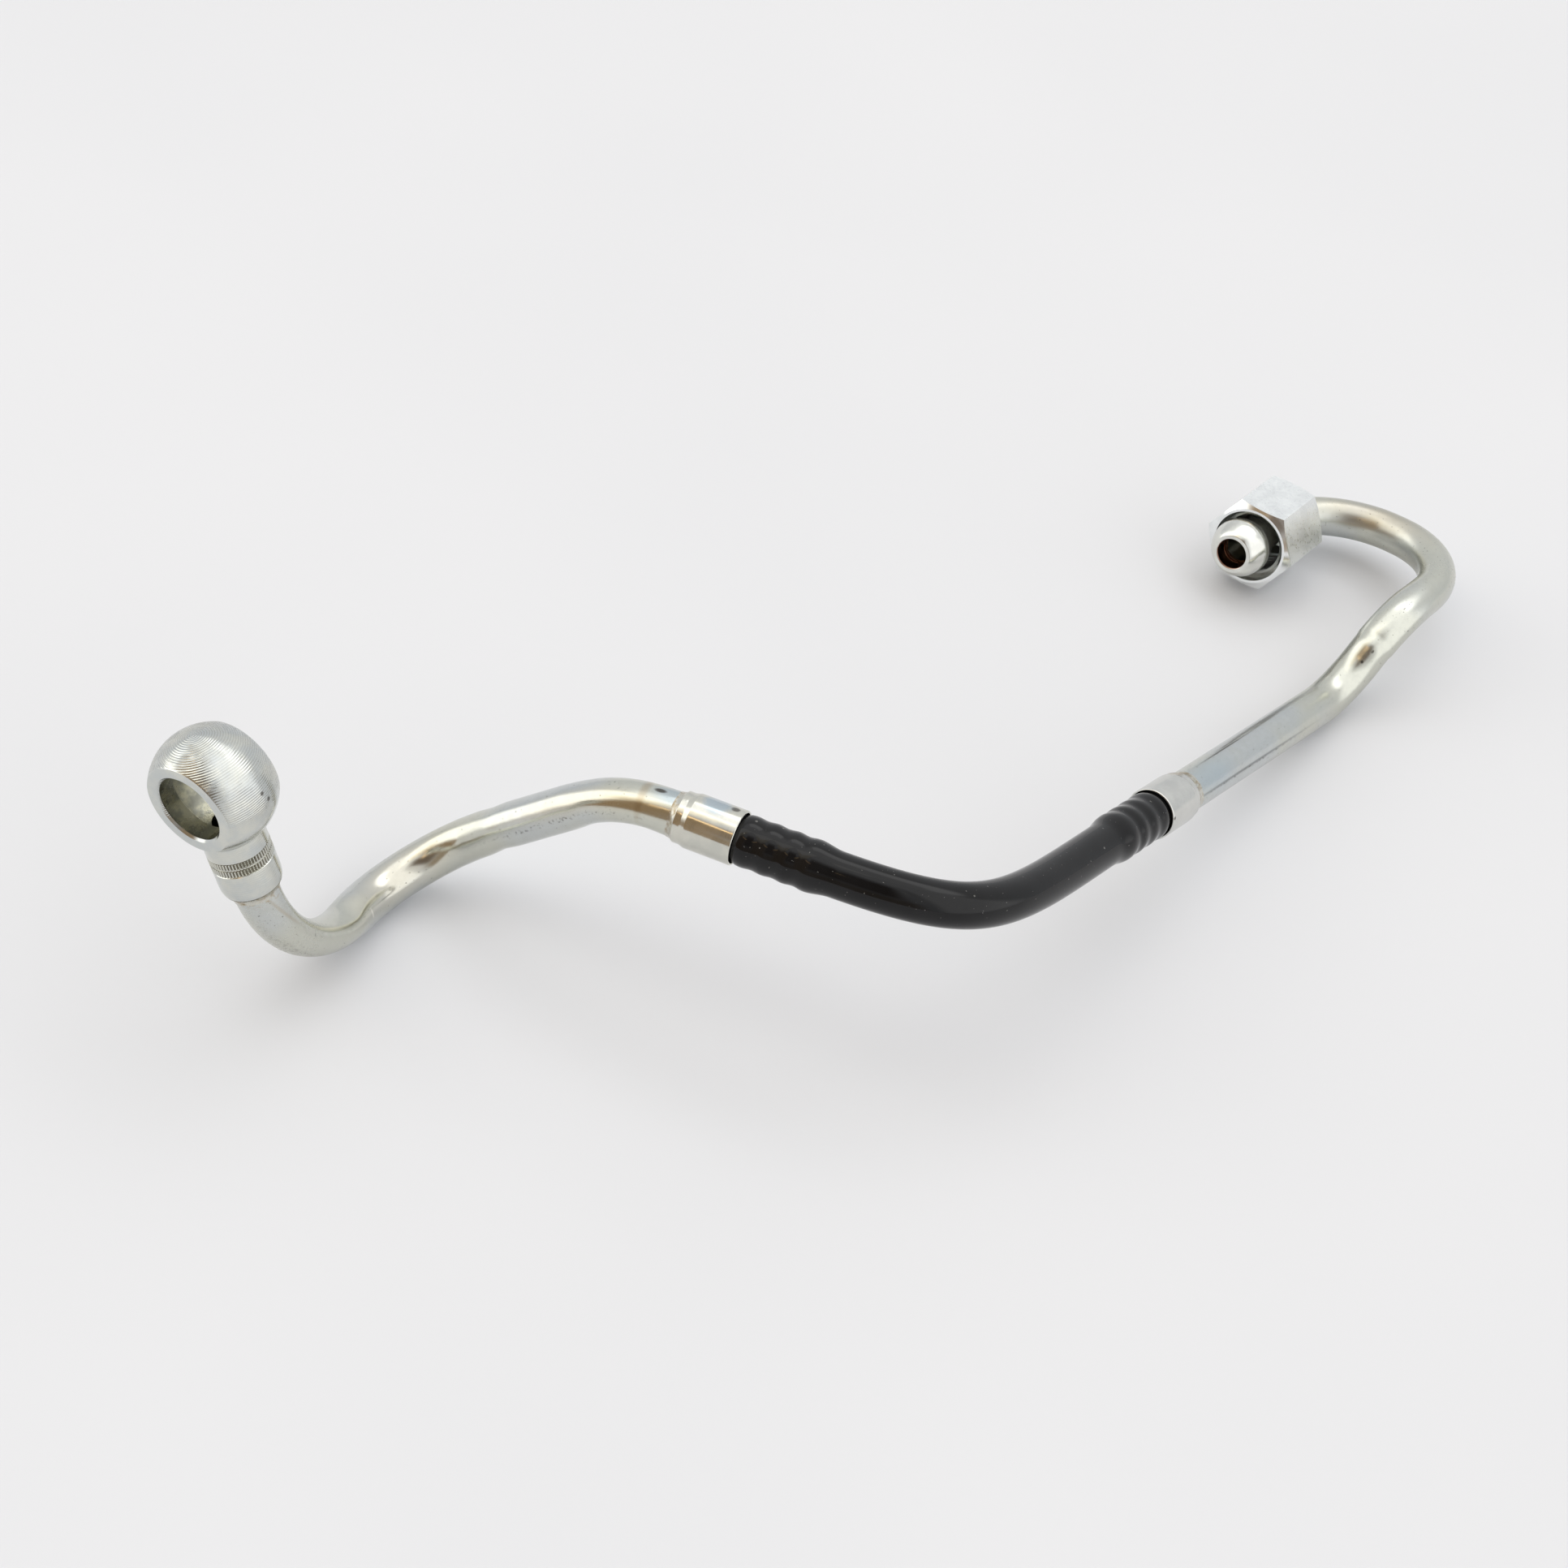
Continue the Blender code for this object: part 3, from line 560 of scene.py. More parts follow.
class Nodes:
    """Short calls for a material's node tree."""

    def __init__(self, name):
        self.material = bpy.data.materials.new(name)
        self.material.use_nodes = True
        self.tree = self.material.node_tree
        self.shader = self.tree.nodes["Principled BSDF"]

    def add(self, kind, **settings):
        node = self.tree.nodes.new(kind)
        for key, value in settings.items():
            setattr(node, key, value)
        return node

    def link(self, source, target):
        self.tree.links.new(source, target)

    def feed(self, node, key, value):
        if isinstance(value, bpy.types.NodeSocket):
            self.link(value, node.inputs[key])
        elif value is not None:
            node.inputs[key].default_value = value

    def math(self, operation, a, b=None, c=None):
        node = self.add("ShaderNodeMath", operation=operation)
        self.feed(node, 0, a)
        self.feed(node, 1, b)
        self.feed(node, 2, c)
        return node.outputs[0]

    def times(self, a, b):
        return self.math("MULTIPLY", a, b)

    def plus(self, a, b):
        return self.math("ADD", a, b)

    def coords(self, scale=(1, 1, 1)):
        """The place in the piece's own frame, in metres, stretched by scale."""
        source = self.add("ShaderNodeAttribute", attribute_name="own")
        mapping = self.add("ShaderNodeMapping")
        self.link(source.outputs["Vector"], mapping.inputs["Vector"])
        mapping.inputs["Scale"].default_value = scale
        return mapping.outputs[0]

    def noise(self, scale, detail=3.0, rough=0.55, stretch=(1, 1, 1)):
        node = self.add("ShaderNodeTexNoise")
        self.link(self.coords(stretch), node.inputs["Vector"])
        node.inputs["Scale"].default_value = scale
        node.inputs["Detail"].default_value = detail
        node.inputs["Roughness"].default_value = rough
        return node.outputs["Fac"]

    def value(self, name):
        node = self.add("ShaderNodeAttribute", attribute_name=name)
        return node.outputs["Fac"]

    def spread(self, value, low, high, to_low=0.0, to_high=1.0):
        node = self.add("ShaderNodeMapRange", interpolation_type="SMOOTHSTEP")
        self.feed(node, "Value", value)
        node.inputs["From Min"].default_value = low
        node.inputs["From Max"].default_value = high
        node.inputs["To Min"].default_value = to_low
        node.inputs["To Max"].default_value = to_high
        return node.outputs["Result"]

    def mix(self, factor, a, b):
        node = self.add("ShaderNodeMix", data_type="RGBA")
        self.feed(node, "Factor", factor)
        for socket, value in ((node.inputs[6], a), (node.inputs[7], b)):
            if isinstance(value, bpy.types.NodeSocket):
                self.link(value, socket)
            else:
                socket.default_value = (*value, 1.0)
        return node.outputs[2]

    def bump(self, height, strength, distance, normal=None):
        node = self.add("ShaderNodeBump")
        node.inputs["Strength"].default_value = strength
        node.inputs["Distance"].default_value = distance
        self.link(height, node.inputs["Height"])
        if normal is not None:
            self.link(normal, node.inputs["Normal"])
        return node.outputs["Normal"]

    def place(self):
        """X, Y and Z in the piece's own frame, in millimetres."""
        split = self.add("ShaderNodeSeparateXYZ")
        self.link(self.coords(), split.inputs[0])
        return [self.math("DIVIDE", output, MM) for output in split.outputs]

    def cylinder(self):
        """Distance from the piece's own axis and height along it, in millimetres."""
        x, y, z = self.place()
        return self.math("SQRT", self.plus(self.times(x, x), self.times(y, y))), z

    def blob(self, x, y, z, size):
        """1 within size millimetres of a point in the piece's own frame."""
        apart = self.add("ShaderNodeVectorMath", operation="DISTANCE")
        self.link(self.coords(), apart.inputs[0])
        apart.inputs[1].default_value = (x * MM, y * MM, z * MM)
        ragged = self.plus(apart.outputs["Value"], self.times(self.noise(1500), 0.4 * size * MM))
        return self.spread(ragged, 1.5 * size * MM, 0.9 * size * MM)

    def patch(self, along, around, half_length, half_width, soft=0.5):
        """1 inside an oval patch of a swept piece, centred at along (mm) and around (degrees)."""
        u = self.math("DIVIDE", self.math("SUBTRACT", self.value("along"), along), half_length)
        v = self.math("DIVIDE", self.math("SUBTRACT", self.value("around"), around), half_width)
        distance = self.math("SQRT", self.plus(self.times(u, u), self.times(v, v)))
        return self.spread(distance, 1.0 + soft, 1.0 - soft)

    def drawn_lines(self, across, lengthwise):
        """Fine lines along a swept piece; across and lengthwise say how quickly they change."""
        join = self.add("ShaderNodeCombineXYZ")
        self.link(self.times(self.value("around"), across), join.inputs["X"])
        self.link(self.times(self.value("along"), lengthwise), join.inputs["Y"])
        lines = self.add("ShaderNodeTexNoise")
        self.link(join.outputs[0], lines.inputs["Vector"])
        lines.inputs["Scale"].default_value = 1.0
        lines.inputs["Detail"].default_value = 2.0
        return lines.outputs["Fac"]

    def metal(self, tone, rough, normal):
        """Feed the shader of a bare metal."""
        self.shader.inputs["Metallic"].default_value = 1.0
        return self.surface(tone, rough, normal)

    def surface(self, tone, rough, normal):
        self.link(tone, self.shader.inputs["Base Color"])
        self.link(rough, self.shader.inputs["Roughness"])
        self.link(normal, self.shader.inputs["Normal"])
        return self.material


def plated_tube(name, marks, matte_run, rough):
    """Bright zinc-plated tube with its marks, painted reflections and painted highlight from marks, duller
    from matte_run's first place (mm) to its second.
    """
    n = Nodes(name)
    tint = n.noise(45, 2, 0.5)
    fine = n.noise(700, 4, 0.6)
    tone = n.mix(n.spread(tint, 0.38, 0.62), ZINC_WARM, ZINC_COOL)
    tone = n.mix(n.spread(fine, 0.35, 0.75, 0.0, 0.16), tone, ZINC_DULL)
    grain = n.spread(n.noise(1700, 3, 0.6), 0.52, 0.60)
    for colour, strength, along, around, half_length, half_width, soft, grainy in marks.values():
        mask = n.times(n.patch(along, around, half_length, half_width, soft), strength)
        if grainy:
            mask = n.times(mask, grain)
        tone = n.mix(mask, tone, colour)
    pits = n.spread(n.noise(2300, 1, 0.4), 0.735, 0.765)
    tone = n.mix(n.times(pits, 0.6), tone, DIRT)
    matte = n.times(n.spread(n.value("along"), *matte_run), 0.10)
    gloss = n.plus(n.spread(fine, 0.3, 0.7, rough, rough + 0.05), matte)
    normal = n.bump(n.drawn_lines(0.9, 0.08), 0.3, 0.00002)
    normal = n.bump(fine, 0.12, 0.00003, normal)
    return n.metal(tone, gloss, n.bump(n.times(pits, -1.0), 0.4, 0.00004, normal))


def lathe_rings(n, position, pitch):
    """A 0 to 1 wave with one crest for each feed step of the tool, stronger in some runs than others."""
    wobble = n.noise(160, 2, 0.5)
    steps = n.plus(n.math("DIVIDE", position, pitch), n.times(wobble, 1.4))
    wave = n.plus(n.times(n.math("SINE", n.times(steps, math.tau)), 0.5), 0.5)
    return n.times(wave, n.spread(n.noise(330, 2, 0.6), 0.3, 0.65, 0.45, 1.0))


def knurl_zones(n, x, y, height):
    """1 on the knurled bands, and 1 in the slots between their teeth."""
    low, high = KNURL_BANDS[0][0], KNURL_BANDS[1][1]
    middle = (KNURL_BANDS[0][1] + KNURL_BANDS[1][0]) / 2
    band = n.times(n.spread(height, low - 0.1, low), n.spread(height, high + 0.1, high))
    teeth = n.math("COSINE", n.times(n.math("ARCTAN2", y, x), KNURL_TEETH))
    rows = n.spread(n.math("ABSOLUTE", n.math("SUBTRACT", height, middle)), 0.12, 0.2)
    return band, n.times(n.times(band, rows), n.spread(teeth, 0.1, -0.55))


def eye_metal(name):
    """Turned ball and neck: rings run round the neck's axis from the pole; the knurl has dust on it and
    painted shade with dirt in its slots, and the bore's inside has painted shade and a painted green-tan
    reflection.
    """
    n = Nodes(name)
    radius, height = n.cylinder()
    x, y, z = n.place()
    aside = n.math("ABSOLUTE", x)
    bore = n.math("SQRT", n.plus(n.times(y, y), n.times(z, z)))
    inside = n.times(n.spread(bore, *BORE_SHADE_RADII), n.spread(aside, *BORE_SHADE_DEPTHS))
    arc_run = n.times(n.math("ARCTAN2", radius, n.times(height, -1.0)), BALL_OD / 2)
    on_ball = n.spread(height, *BALL_TOP)
    run = n.plus(n.times(arc_run, on_ball), n.times(height, n.math("SUBTRACT", 1.0, on_ball)))
    turned_zone = n.times(n.spread(arc_run, *RING_END), on_ball)
    deep = n.math("MAXIMUM", turned_zone, n.times(n.spread(height, *NECK_RINGS), 0.3))
    flat = n.spread(aside, EYE_WIDTH / 2 - 0.05, EYE_WIDTH / 2 - 0.3)
    ridges = n.times(n.times(lathe_rings(n, run, RING_PITCH), deep), flat)

    cloud = n.noise(220, 4, 0.6)
    band, slots = knurl_zones(n, x, y, height)
    bore_mottle = n.noise(420, 4, 0.65)
    tone = n.mix(n.spread(cloud, 0.35, 0.65), EYE_COOL, EYE_WARM)
    tone = n.mix(n.times(ridges, 0.38), tone, RING_SHADE)
    tone = n.mix(n.times(band, 0.3), tone, KNURL_DUST)
    # Painted shade and dirt in the knurl's slots
    tone = n.mix(n.times(slots, 0.85), tone, KNURL_SLOT_SHADE_AND_DIRT)
    # Painted shade and painted green-tan reflection inside the bore
    bore_shade_tint = n.mix(n.spread(bore_mottle, 0.4, 0.6), BORE_SHADE_AND_REFLECTION_PALE, BORE_SHADE_AND_REFLECTION_DEEP)
    tone = n.mix(n.times(inside, 0.8), tone, bore_shade_tint)
    for nick_x, nick_y, nick_z, size in EYE_NICKS:
        tone = n.mix(n.times(n.blob(nick_x, nick_y, nick_z, size), 0.8), tone, DIRT)

    rough = n.plus(n.spread(cloud, 0.3, 0.7, 0.13, 0.20), n.times(inside, 0.12))
    fine = n.add("ShaderNodeTexNoise", noise_dimensions="1D")
    n.link(n.times(run, 9.0), fine.inputs["W"])
    fine.inputs["Scale"].default_value = 1.0
    fine.inputs["Detail"].default_value = 2.0
    normal = n.bump(ridges, 1.0, 0.00006)
    normal = n.bump(n.times(fine.outputs["Fac"], deep), 1.0, 0.000013, normal)
    return n.metal(tone, rough, n.bump(n.times(bore_mottle, inside), 0.5, 0.0001, normal))


def turned_metal(name, light, dark, rough, blobs=(), bore=None, scratch=0.3):
    """Turned or drawn steel: fine uneven scratches round the piece's own axis, and its marks."""
    n = Nodes(name)
    radius, _ = n.cylinder()
    lines = n.noise(1.0, 3.0, 0.5, (160, 160, 5200))
    cloud = n.noise(260, 4, 0.6)
    tone = n.mix(n.spread(cloud, 0.35, 0.65), dark, light)
    tone = n.mix(n.spread(lines, 0.55, 0.75, 0.0, 0.35), tone, dark)
    for colour, strength, x, y, z, size in blobs:
        tone = n.mix(n.times(n.blob(x, y, z, size), strength), tone, colour)
    if bore:
        tone = n.mix(n.spread(radius, bore + 0.25, bore + 0.05), tone, BORE_RUST)
    gloss = n.spread(cloud, 0.3, 0.7, rough - 0.02, rough + 0.04)
    return n.metal(tone, gloss, n.bump(lines, scratch, 0.00002))


def tumbled_metal(name):
    """The nut's satin flats with small dents; its chamfers and mouth are smoother."""
    n = Nodes(name)
    radius, height = n.cylinder()
    cloud = n.noise(260, 4, 0.6)
    dents = n.noise(1500, 3, 0.65)
    tone = n.mix(n.spread(cloud, 0.35, 0.65), NUT_DARK, NUT_LIGHT)
    flats = n.times(n.spread(height, *FLAT_HEIGHTS), n.spread(radius, *FLAT_RADII))
    dented = n.times(flats, n.spread(dents, 0.3, 0.7, 0.0, 0.14))
    rough = n.plus(n.spread(height, *MOUTH_HEIGHTS, 0.15, 0.26), dented)
    return n.metal(tone, rough, n.bump(n.times(dents, flats), 0.30, 0.00004))


def braze_metal(name, light, dark, base_rough=0.3):
    n = Nodes(name)
    cloud = n.noise(520, 4, 0.65)
    tone = n.mix(n.spread(cloud, 0.42, 0.66), light, dark)
    rough = n.spread(cloud, 0.3, 0.7, base_rough - 0.08, base_rough + 0.1)
    return n.metal(tone, rough, n.bump(cloud, 0.35, 0.00006))


def black_plastic(name):
    """Glossy extruded hose: lengthwise die lines and a few specks of dust."""
    n = Nodes(name)
    lumps = n.noise(230, 2, 0.5)
    tone = n.mix(n.spread(lumps, 0.3, 0.7), HOSE_BLACK, HOSE_GREY)
    dust = n.spread(n.noise(2100, 1, 0.4), 0.755, 0.775)
    for along, around, size in HOSE_DUST:
        dust = n.math("MAXIMUM", dust, n.patch(along, around, size, size * 14, 0.4))
    tone = n.mix(n.times(dust, 0.30), tone, DUST)
    n.shader.inputs["Specular IOR Level"].default_value = 0.30
    normal = n.bump(n.drawn_lines(0.30, 0.03), 0.10, 0.00003)
    return n.surface(tone, n.spread(lumps, 0.3, 0.7, 0.05, 0.09), n.bump(lumps, 0.08, 0.00006, normal))


# Pieces

def banjo_outline():
    ball, neck, rim = BALL_OD / 2, NECK_OD / 2, NECK_RIM_OD / 2
    height = NECK_END - NECK_ROUND_START
    outline = [(0.0, NECK_END)]
    for i in range(13):
        angle = math.radians(90 * i / 12)
        outline.append((rim + (neck - rim) * math.sin(angle), NECK_ROUND_START + height * math.cos(angle)))
    relief, low, high = KNURL_RELIEF_OD / 2, KNURL_BANDS[0][0], KNURL_BANDS[-1][1]
    outline += [(neck, high + 0.2), (relief, high + 0.05), (relief, low - 0.05), (neck, low - 0.2)]
    reach = ball + NECK_FILLET
    centre = (neck + NECK_FILLET, math.sqrt(reach ** 2 - (neck + NECK_FILLET) ** 2))
    tilt = math.degrees(math.atan2(centre[1], centre[0]))
    outline += arc(centre, NECK_FILLET, 180, 180 + tilt, 8)
    return outline + arc((0, 0), ball, tilt, -90, 60)[1:-1] + [(0.0, -ball)]


def knurl_ring(name, low, high, place):
    outer = (NECK_OD / 2 + 0.02) * MM
    mesh = bpy.data.meshes.new(name)
    work = bmesh.new()
    bmesh.ops.create_cone(work, cap_ends=True, segments=4 * KNURL_TEETH, radius1=outer,
                          radius2=outer, depth=(high - low) * MM)
    for vertex in work.verts:
        turn = round(math.atan2(vertex.co.y, vertex.co.x) / math.tau * 4 * KNURL_TEETH) % 4
        depth = (0.0, 0.55, 1.0, 0.55)[turn]
        vertex.co.xy *= 1 - KNURL_DEPTH * depth * MM / outer
        vertex.co.z += (low + high) / 2 * MM
    work.to_mesh(mesh)
    work.free()
    return add_object(name, mesh, place)


def build_banjo(look):
    place = axis_frame(spot(EYE_CENTRE), neck_way, EYE_FACES)
    across = axis_frame(spot(EYE_CENTRE), place.to_3x3().col[0], neck_way)
    fitting = turned("eye_fitting", banjo_outline(), 144, False, place)
    for i, (low, high) in enumerate(KNURL_BANDS):
        boolean(fitting, knurl_ring(f"knurl_{i}", low, high, place), "UNION")
    slab = bpy.data.meshes.new("slab")
    work = bmesh.new()
    bmesh.ops.create_cube(work, size=SLAB * MM)
    for vertex in work.verts:
        vertex.co.z *= EYE_WIDTH / SLAB
    work.to_mesh(slab)
    work.free()
    boolean(fitting, add_object("slab", slab, across), "INTERSECT")
    bore, groove, face = EYE_BORE / 2, GROOVE_OD / 2, EYE_WIDTH / 2
    half = [(0.0, face + 1.0), (bore + EYE_BORE_CHAMFER + 1.0, face + 1.0),
            (bore, face - EYE_BORE_CHAMFER), (bore, GROOVE_WIDTH / 2),
            (groove, GROOVE_WIDTH / 2 - 0.6)]
    outline = half + [(radius, -height) for radius, height in reversed(half)]
    boolean(fitting, turned("bore_cut", outline, 128, False, across))
    boolean(fitting, prism("cross_cut", CROSS_BORE, *CROSS_CUT, 48, place))
    floor, socket = NECK_END - SOCKET_DEPTH, TUBE_OD + SOCKET_PLAY
    boolean(fitting, prism("socket_cut", socket, floor, SOCKET_CUT_TOP, 96, place))
    return finished(fitting, "line", look, "turned_steel", "banjo_fitting", angle=28)


def build_fillet(name, place, length, thick_od, look, node, ragged=0.25):
    """Braze fillet with an uneven lower edge."""
    inner, thick = TUBE_OD / 2 + 0.02, thick_od / 2
    outline = [(inner, 0.05), (thick, 0.05)]
    for i in range(1, 11):
        t = i / 10
        outline.append((inner + 0.05 + (thick - inner - 0.05) * (1 - t) ** 2, -length * t))
    outline.append((inner, -length - 0.02))
    item = turned(name, outline, 96, True, place)
    for vertex in item.data.vertices:
        angle = math.atan2(vertex.co.y, vertex.co.x)
        low = min(1.0, -vertex.co.z / (length * MM))
        wave = noise.noise(Vector((2.2 * math.cos(angle), 2.2 * math.sin(angle), length * 3.1)))
        if low > 0:
            vertex.co.z -= ragged * wave * low * MM
    return finished(item, "line", look, "braze", node, angle=50)


def build_sleeve(name, mouth, way, round_shoulder, look, node):
    outer, bore, collar = SLEEVE_OD / 2, SLEEVE_BORE / 2, COLLAR_OD / 2
    hole = TUBE_OD / 2 + 0.08
    shoulder, foot = SLEEVE_BODY + SLEEVE_SHOULDER, SLEEVE_BODY + SLEEVE_SHOULDER + SLEEVE_COLLAR
    outline = [(bore + 0.03, 0.0), (outer - 0.1, 0.0), (outer, -0.15), (outer, -SLEEVE_BODY)]
    if round_shoulder:
        outline += [(collar + (outer - collar) * math.cos(math.radians(a)),
                     -SLEEVE_BODY - SLEEVE_SHOULDER * math.sin(math.radians(a))) for a in range(10, 91, 10)]
    else:
        outline.append((collar, -shoulder))
    outline += [(collar, -foot), (hole, -foot), (hole, -shoulder + 0.5), (bore, -SLEEVE_BODY + 0.1)]
    place = axis_frame(mouth, way, (0, 0, 1))
    item = turned(name, rounded(outline, 0.08), 128, True, place)
    return finished(item, "line", look, "zinc_sleeve", node, angle=40)


def build_nipple(place, look):
    ball, ring, bore = NIPPLE_BALL_OD / 2, NIPPLE_RING_OD / 2, NIPPLE_BORE / 2
    neck, socket = NIPPLE_NECK_OD / 2, TUBE_OD / 2 + 0.1
    centre = math.sqrt(ball ** 2 - ring ** 2)
    start = math.degrees(math.atan2(centre, ring))
    land = centre + NIPPLE_LAND
    outline = [(bore + 0.2, 0.0)] + arc((0, -centre), ball, start, 0, 32)
    outline += [(ball, -land), (neck, -land - (ball - neck)), (neck, -NIPPLE_LENGTH + 0.3),
                (neck - 0.3, -NIPPLE_LENGTH), (socket, -NIPPLE_LENGTH), (socket, -NIPPLE_SHOULDER),
                (bore, -NIPPLE_SHOULDER), (bore, -0.2)]
    item = turned("nipple", rounded(outline, 0.08), 144, True, place)
    return finished(item, "line", look, "turned_steel", "ball_nipple", angle=40)


def build_copper(place, look):
    top = -(NIPPLE_SHOULDER + 0.05)
    inner, outer, low = NIPPLE_BORE / 2 - 0.1, TUBE_OD / 2, top - COPPER_RING - 0.3
    outline = [(inner + 0.15, top), (outer, top), (outer, low), (inner + 0.15, low),
               (inner, (top + low) / 2)]
    item = turned("copper_ring", rounded(outline, 0.12), 96, True, place)
    return finished(item, "line", look, "copper", "copper_braze_ring", angle=60)


def build_nut(look):
    place = Matrix.Translation(SHIFT) @ nut_place()
    corner = NUT_AF / math.sqrt(3)
    nut = prism("nut", 2 * corner, -NUT_LENGTH, 0.0, 6, place)
    face, wide = NUT_FACE_OD / 2, corner + 0.5
    drop = (wide - face) * math.tan(math.radians(NUT_CHAMFER))
    outline = [(0.0, 0.02), (face, 0.0), (wide, -drop), (wide, drop - NUT_LENGTH), (face, -NUT_LENGTH),
               (0.0, -NUT_LENGTH - 0.02)]
    boolean(nut, turned("nut_cap", outline, 180, False, place), "INTERSECT")
    bore, mouth, rear_bore = THREAD_MAJOR / 2, MOUTH_OD / 2, REAR_BORE / 2
    seat = NUT_LENGTH - REAR_LENGTH
    thread_end = seat - (THREAD_MINOR / 2 - rear_bore)
    outline = [(0.0, 1.0), (mouth + 1.0, 1.0), (bore, -(mouth - bore)), (bore, -thread_end),
               (THREAD_MINOR / 2, -thread_end), (rear_bore, -seat), (rear_bore, 0.3 - NUT_LENGTH),
               (rear_bore + 1.3, -NUT_LENGTH - 1.0), (0.0, -NUT_LENGTH - 1.0)]
    boolean(nut, turned("nut_cut", outline, 144, False, place))
    bevel = nut.modifiers.new("edges", "BEVEL")
    bevel.width = 0.12 * MM
    bevel.segments = 2
    bevel.limit_method = "ANGLE"
    bevel.angle_limit = math.radians(25)
    apply_modifiers(nut)
    finished(nut, "nut", look, "nut_steel", "union_nut", angle=24)
    return place, thread_end


def build_thread(place, thread_end, look):
    """One helical ridge inside the nut's bore."""
    turns = int((thread_end + THREAD_START) / THREAD_PITCH)
    root, crest = THREAD_MAJOR / 2 + 0.03, THREAD_MINOR / 2
    half = THREAD_PITCH / 2
    outline = [(root, THREAD_START - 2 * half), (crest, THREAD_START - half - 0.1),
               (crest, THREAD_START - half + 0.1), (root, THREAD_START)]
    mesh = bpy.data.meshes.new("nut_thread")
    mesh.from_pydata([(r * MM, 0.0, z * MM) for r, z in outline], [(0, 1), (1, 2), (2, 3)], [])
    item = add_object("nut_thread", mesh, place)
    screw = item.modifiers.new("turn", "SCREW")
    screw.axis = "Z"
    screw.angle = math.tau
    screw.screw_offset = -THREAD_PITCH * MM
    screw.iterations = turns
    screw.steps = 96
    screw.render_steps = 96
    apply_modifiers(item)
    return finished(item, "nut", look, "nut_steel", angle=25)


def build_banjo_tube(look):
    """The tube from the eye into the first sleeve."""
    start = spot(EYE_CENTRE) + neck_way * (NECK_END - SOCKET_DEPTH + TUBE_STANDOFF) * MM
    path = Path(start, BANJO_BENDS, spot(BANJO_MOUTH))
    tube = swept("banjo_side_tube", tube_stations(path, 0.0, path.length / MM - TUBE_TUCK), 64)
    return finished(tube, "line", look, "zinc_tube", "banjo_tube", angle=60)


def build_nut_tube(look):
    """The tube from the second sleeve to the nipple, open at its end."""
    last = spot(NIPPLE_FRONT) - stub_way * (NIPPLE_SHOULDER + HOOK_END) * MM
    path = Path(spot(NUT_MOUTH), NUT_BENDS, last)
    tube = swept("nut_side_tube", tube_stations(path, TUBE_TUCK, path.length / MM), 64)
    end, way = path.at(path.length)
    boolean(tube, prism("tube_bore", TUBE_ID, -HOOK_BORE_DEPTH, 1.0, 64, axis_frame(end, way, (0, 0, 1))))
    return finished(tube, "line", look, "zinc_tube", "nut_tube", angle=60)


def sleeve_foot(mouth, way):
    foot = SLEEVE_BODY + SLEEVE_SHOULDER + SLEEVE_COLLAR
    return axis_frame(spot(mouth) - way * foot * MM, way, (0, 0, 1))


def dress():
    braze = braze_metal("braze_look", (0.60, 0.59, 0.53), (0.34, 0.27, 0.17))
    copper = braze_metal("copper_look", (0.62, 0.30, 0.18), (0.36, 0.16, 0.10))
    first_look = turned_metal("first_sleeve_look", (0.66, 0.65, 0.58), (0.57, 0.57, 0.52), 0.12,
                              SLEEVE_SMUDGES, scratch=0.5)
    second_look = turned_metal("second_sleeve_look", (0.66, 0.66, 0.63), (0.61, 0.61, 0.585), 0.2,
                               SECOND_SMUDGES, scratch=0.5)
    polished = turned_metal("nipple_look", (0.76, 0.77, 0.72), (0.66, 0.66, 0.62), 0.17,
                            bore=NIPPLE_BORE / 2, scratch=0.15)
    nut_look = tumbled_metal("nut_look")

    build_banjo(eye_metal("eye_look"))
    build_banjo_tube(plated_tube("banjo_tube_look", BANJO_MARKS, (38.0, 22.0), 0.14))
    neck_mouth = axis_frame(spot(EYE_CENTRE) + neck_way * NECK_END * MM, -neck_way, (1, 0, 0))
    build_fillet("neck_fillet", neck_mouth, *EYE_BRAZE, braze, "eye_braze")

    build_sleeve("first_sleeve", spot(BANJO_MOUTH), banjo_way, False, first_look, "banjo_sleeve")
    build_sleeve("second_sleeve", spot(NUT_MOUTH), nut_way, True, second_look, "nut_sleeve")
    build_fillet("first_sleeve_fillet", sleeve_foot(BANJO_MOUTH, banjo_way), *SLEEVE_BRAZE, braze,
                 "banjo_sleeve_braze", 0.1)
    build_fillet("second_sleeve_fillet", sleeve_foot(NUT_MOUTH, nut_way), *NUT_SLEEVE_BRAZE, braze,
                 "nut_sleeve_braze", 0.3)
    hose = swept("hose_skin", hose_stations(), 72)
    finished(hose, "line", black_plastic("hose_look"), "black_hose", "hose", angle=60)

    build_nut_tube(plated_tube("nut_tube_look", NUT_MARKS, (104.0, 122.0), 0.20))
    nipple_place = axis_frame(spot(NIPPLE_FRONT), stub_way, (0, 0, 1))
    build_nipple(nipple_place, polished)
    build_copper(nipple_place, copper)
    place, thread_end = build_nut(nut_look)
    build_thread(place, thread_end, nut_look)


# Floor, light and camera

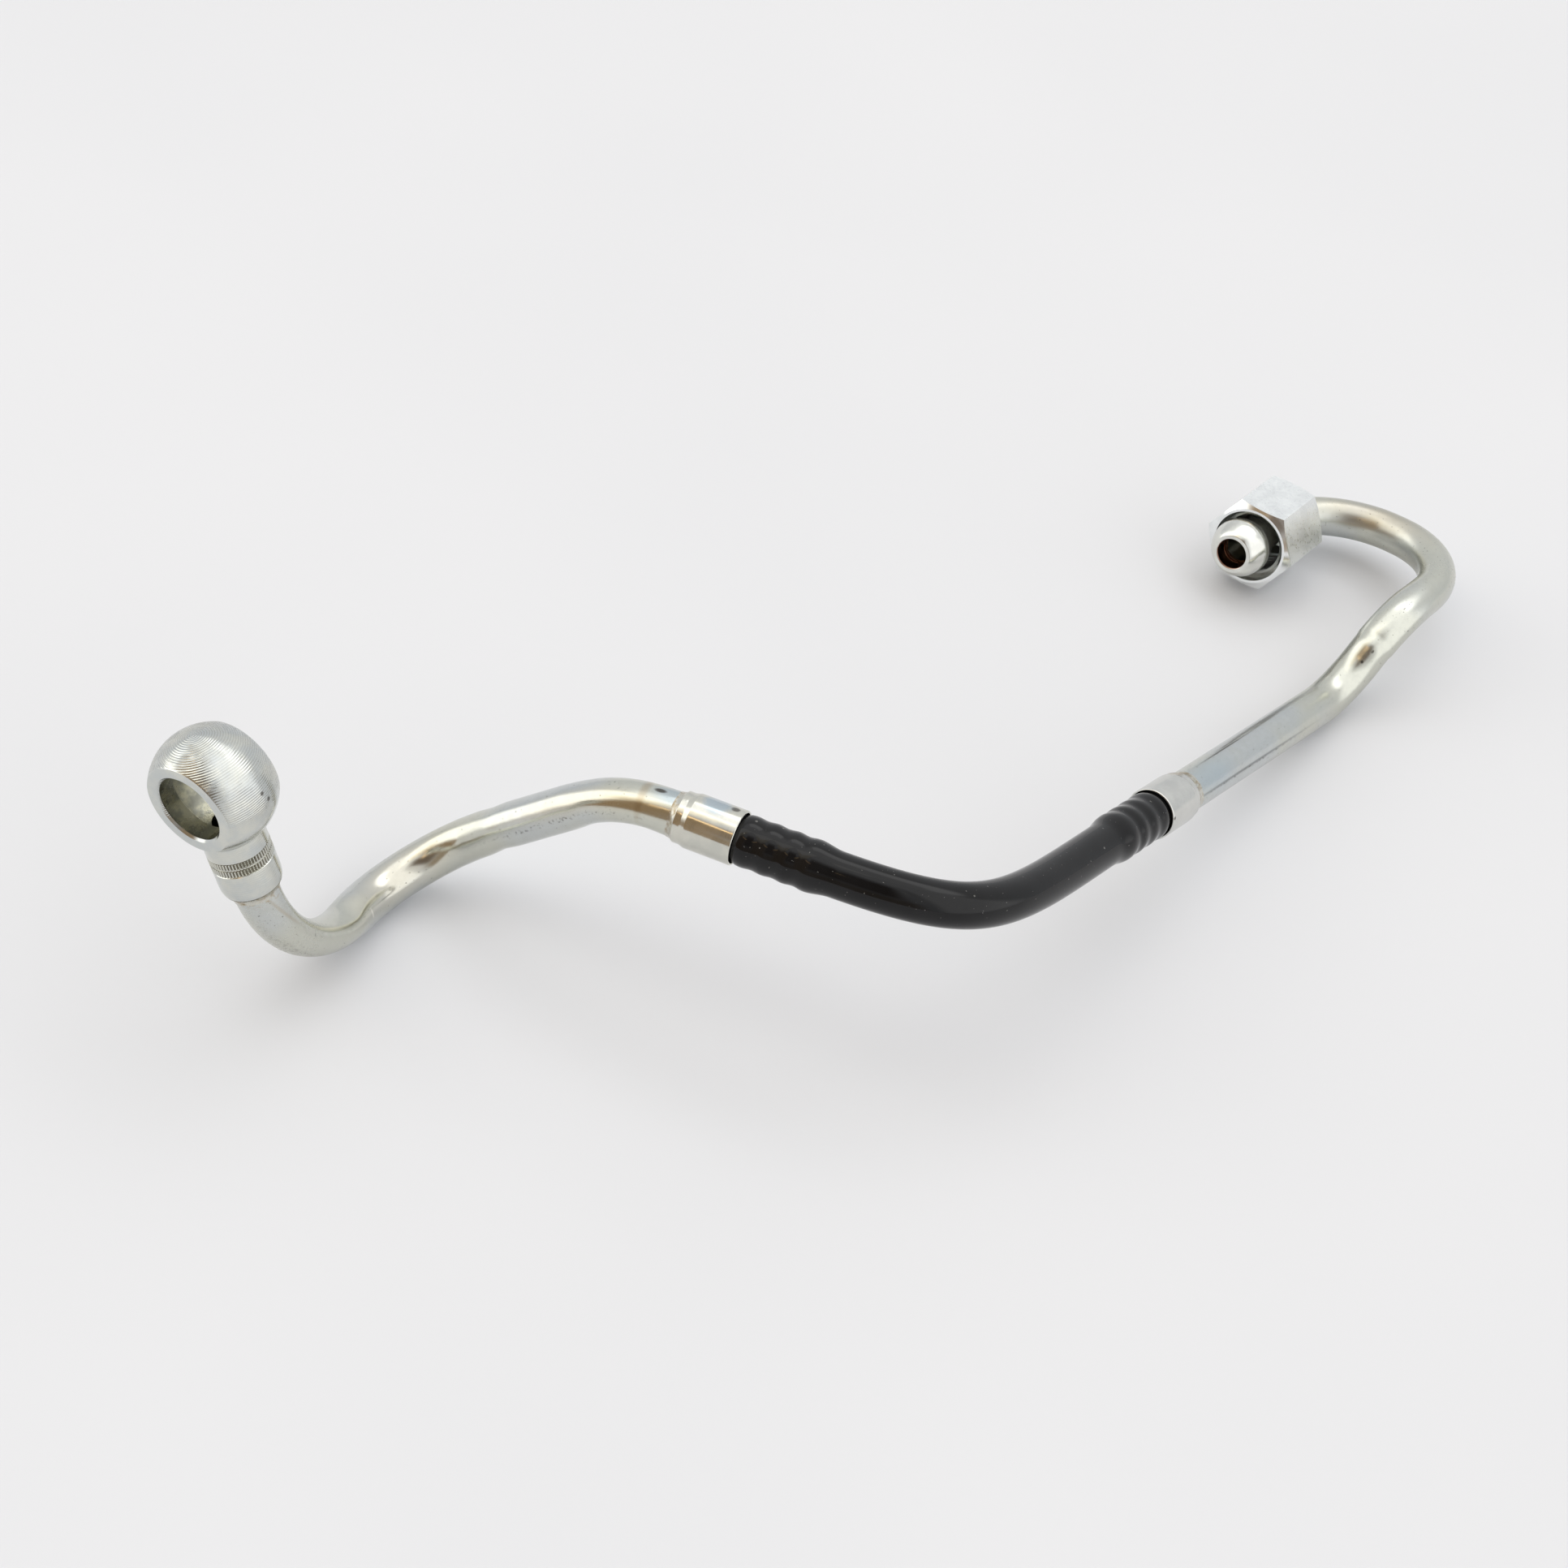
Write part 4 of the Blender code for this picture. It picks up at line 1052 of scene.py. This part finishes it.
def build_floor():
    mesh = bpy.data.meshes.new("floor")
    work = bmesh.new()
    bmesh.ops.create_grid(work, x_segments=1, y_segments=1, size=FLOOR_SIZE)
    work.to_mesh(mesh)
    work.free()
    floor = add_object("floor", mesh)
    bpy.context.view_layer.update()
    floor.matrix_world = Matrix.Translation((0, 0, -FLOOR_DROP))
    stand(floor)
    n = Nodes("floor_look")
    tone = n.mix(n.spread(n.noise(6, 2, 0.5), 0.3, 0.7), FLOOR_LOW, FLOOR_HIGH)
    n.link(tone, n.shader.inputs["Base Color"])
    n.shader.inputs["Roughness"].default_value = 0.9
    n.shader.inputs["Specular IOR Level"].default_value = 0.2
    mesh.materials.append(n.material)


class Sky(Nodes):
    """The studio round the line, as soft zones by azimuth and elevation in degrees."""

    def __init__(self):
        world = bpy.data.worlds.new("studio")
        bpy.context.scene.world = world
        world.use_nodes = True
        self.tree = world.node_tree
        self.shader = self.tree.nodes["Background"]
        coords = self.add("ShaderNodeTexCoord")
        split = self.add("ShaderNodeSeparateXYZ")
        self.link(coords.outputs["Generated"], split.inputs[0])
        across = self.math("ARCTAN2", split.outputs["Y"], split.outputs["X"])
        self.azimuth = self.math("DEGREES", across)
        self.elevation = self.math("DEGREES", self.math("ARCSINE", split.outputs["Z"]))

    def zone(self, azimuth, half_width, low, high, soft=10.0):
        """1 within half_width of azimuth and between low and high, soft at its edges."""
        turn = self.math("SUBTRACT", self.azimuth, azimuth)
        turn = self.math("ABSOLUTE", self.math("WRAP", turn, 180.0, -180.0))
        beside = self.spread(turn, half_width + soft, half_width - soft)
        above = self.spread(self.elevation, low - soft, low + soft)
        below = self.spread(self.elevation, high + soft, high - soft)
        return self.times(self.times(beside, above), below)


def build_light():
    sky = Sky()
    tone = sky.mix(sky.spread(sky.elevation, 0, 60), WALL, CEILING)
    for _, colour, azimuth, half_width, low, high, soft in SKY_ZONES:
        tone = sky.mix(sky.zone(azimuth, half_width, low, high, soft), tone, colour)
    sky.link(tone, sky.shader.inputs["Color"])
    sky.shader.inputs["Strength"].default_value = SKY_STRENGTH
    bpy.context.scene.view_settings.view_transform = "Standard"


def build_camera():
    data = bpy.data.cameras.new("camera")
    data.lens = LENS
    data.sensor_width = SENSOR
    data.sensor_fit = "HORIZONTAL"
    data.clip_start = 0.01
    camera = bpy.data.objects.new("camera", data)
    COLLECTION.objects.link(camera)
    right, up = unit(CAMERA_RIGHT), unit(CAMERA_UP)
    back = right.cross(up)
    rotation = Matrix((right, up, back)).transposed()
    camera.matrix_world = Matrix.Translation(spot(CAMERA_PLACE)) @ rotation.to_4x4()
    bpy.context.scene.camera = camera


dress()
build_floor()
build_light()
build_camera()
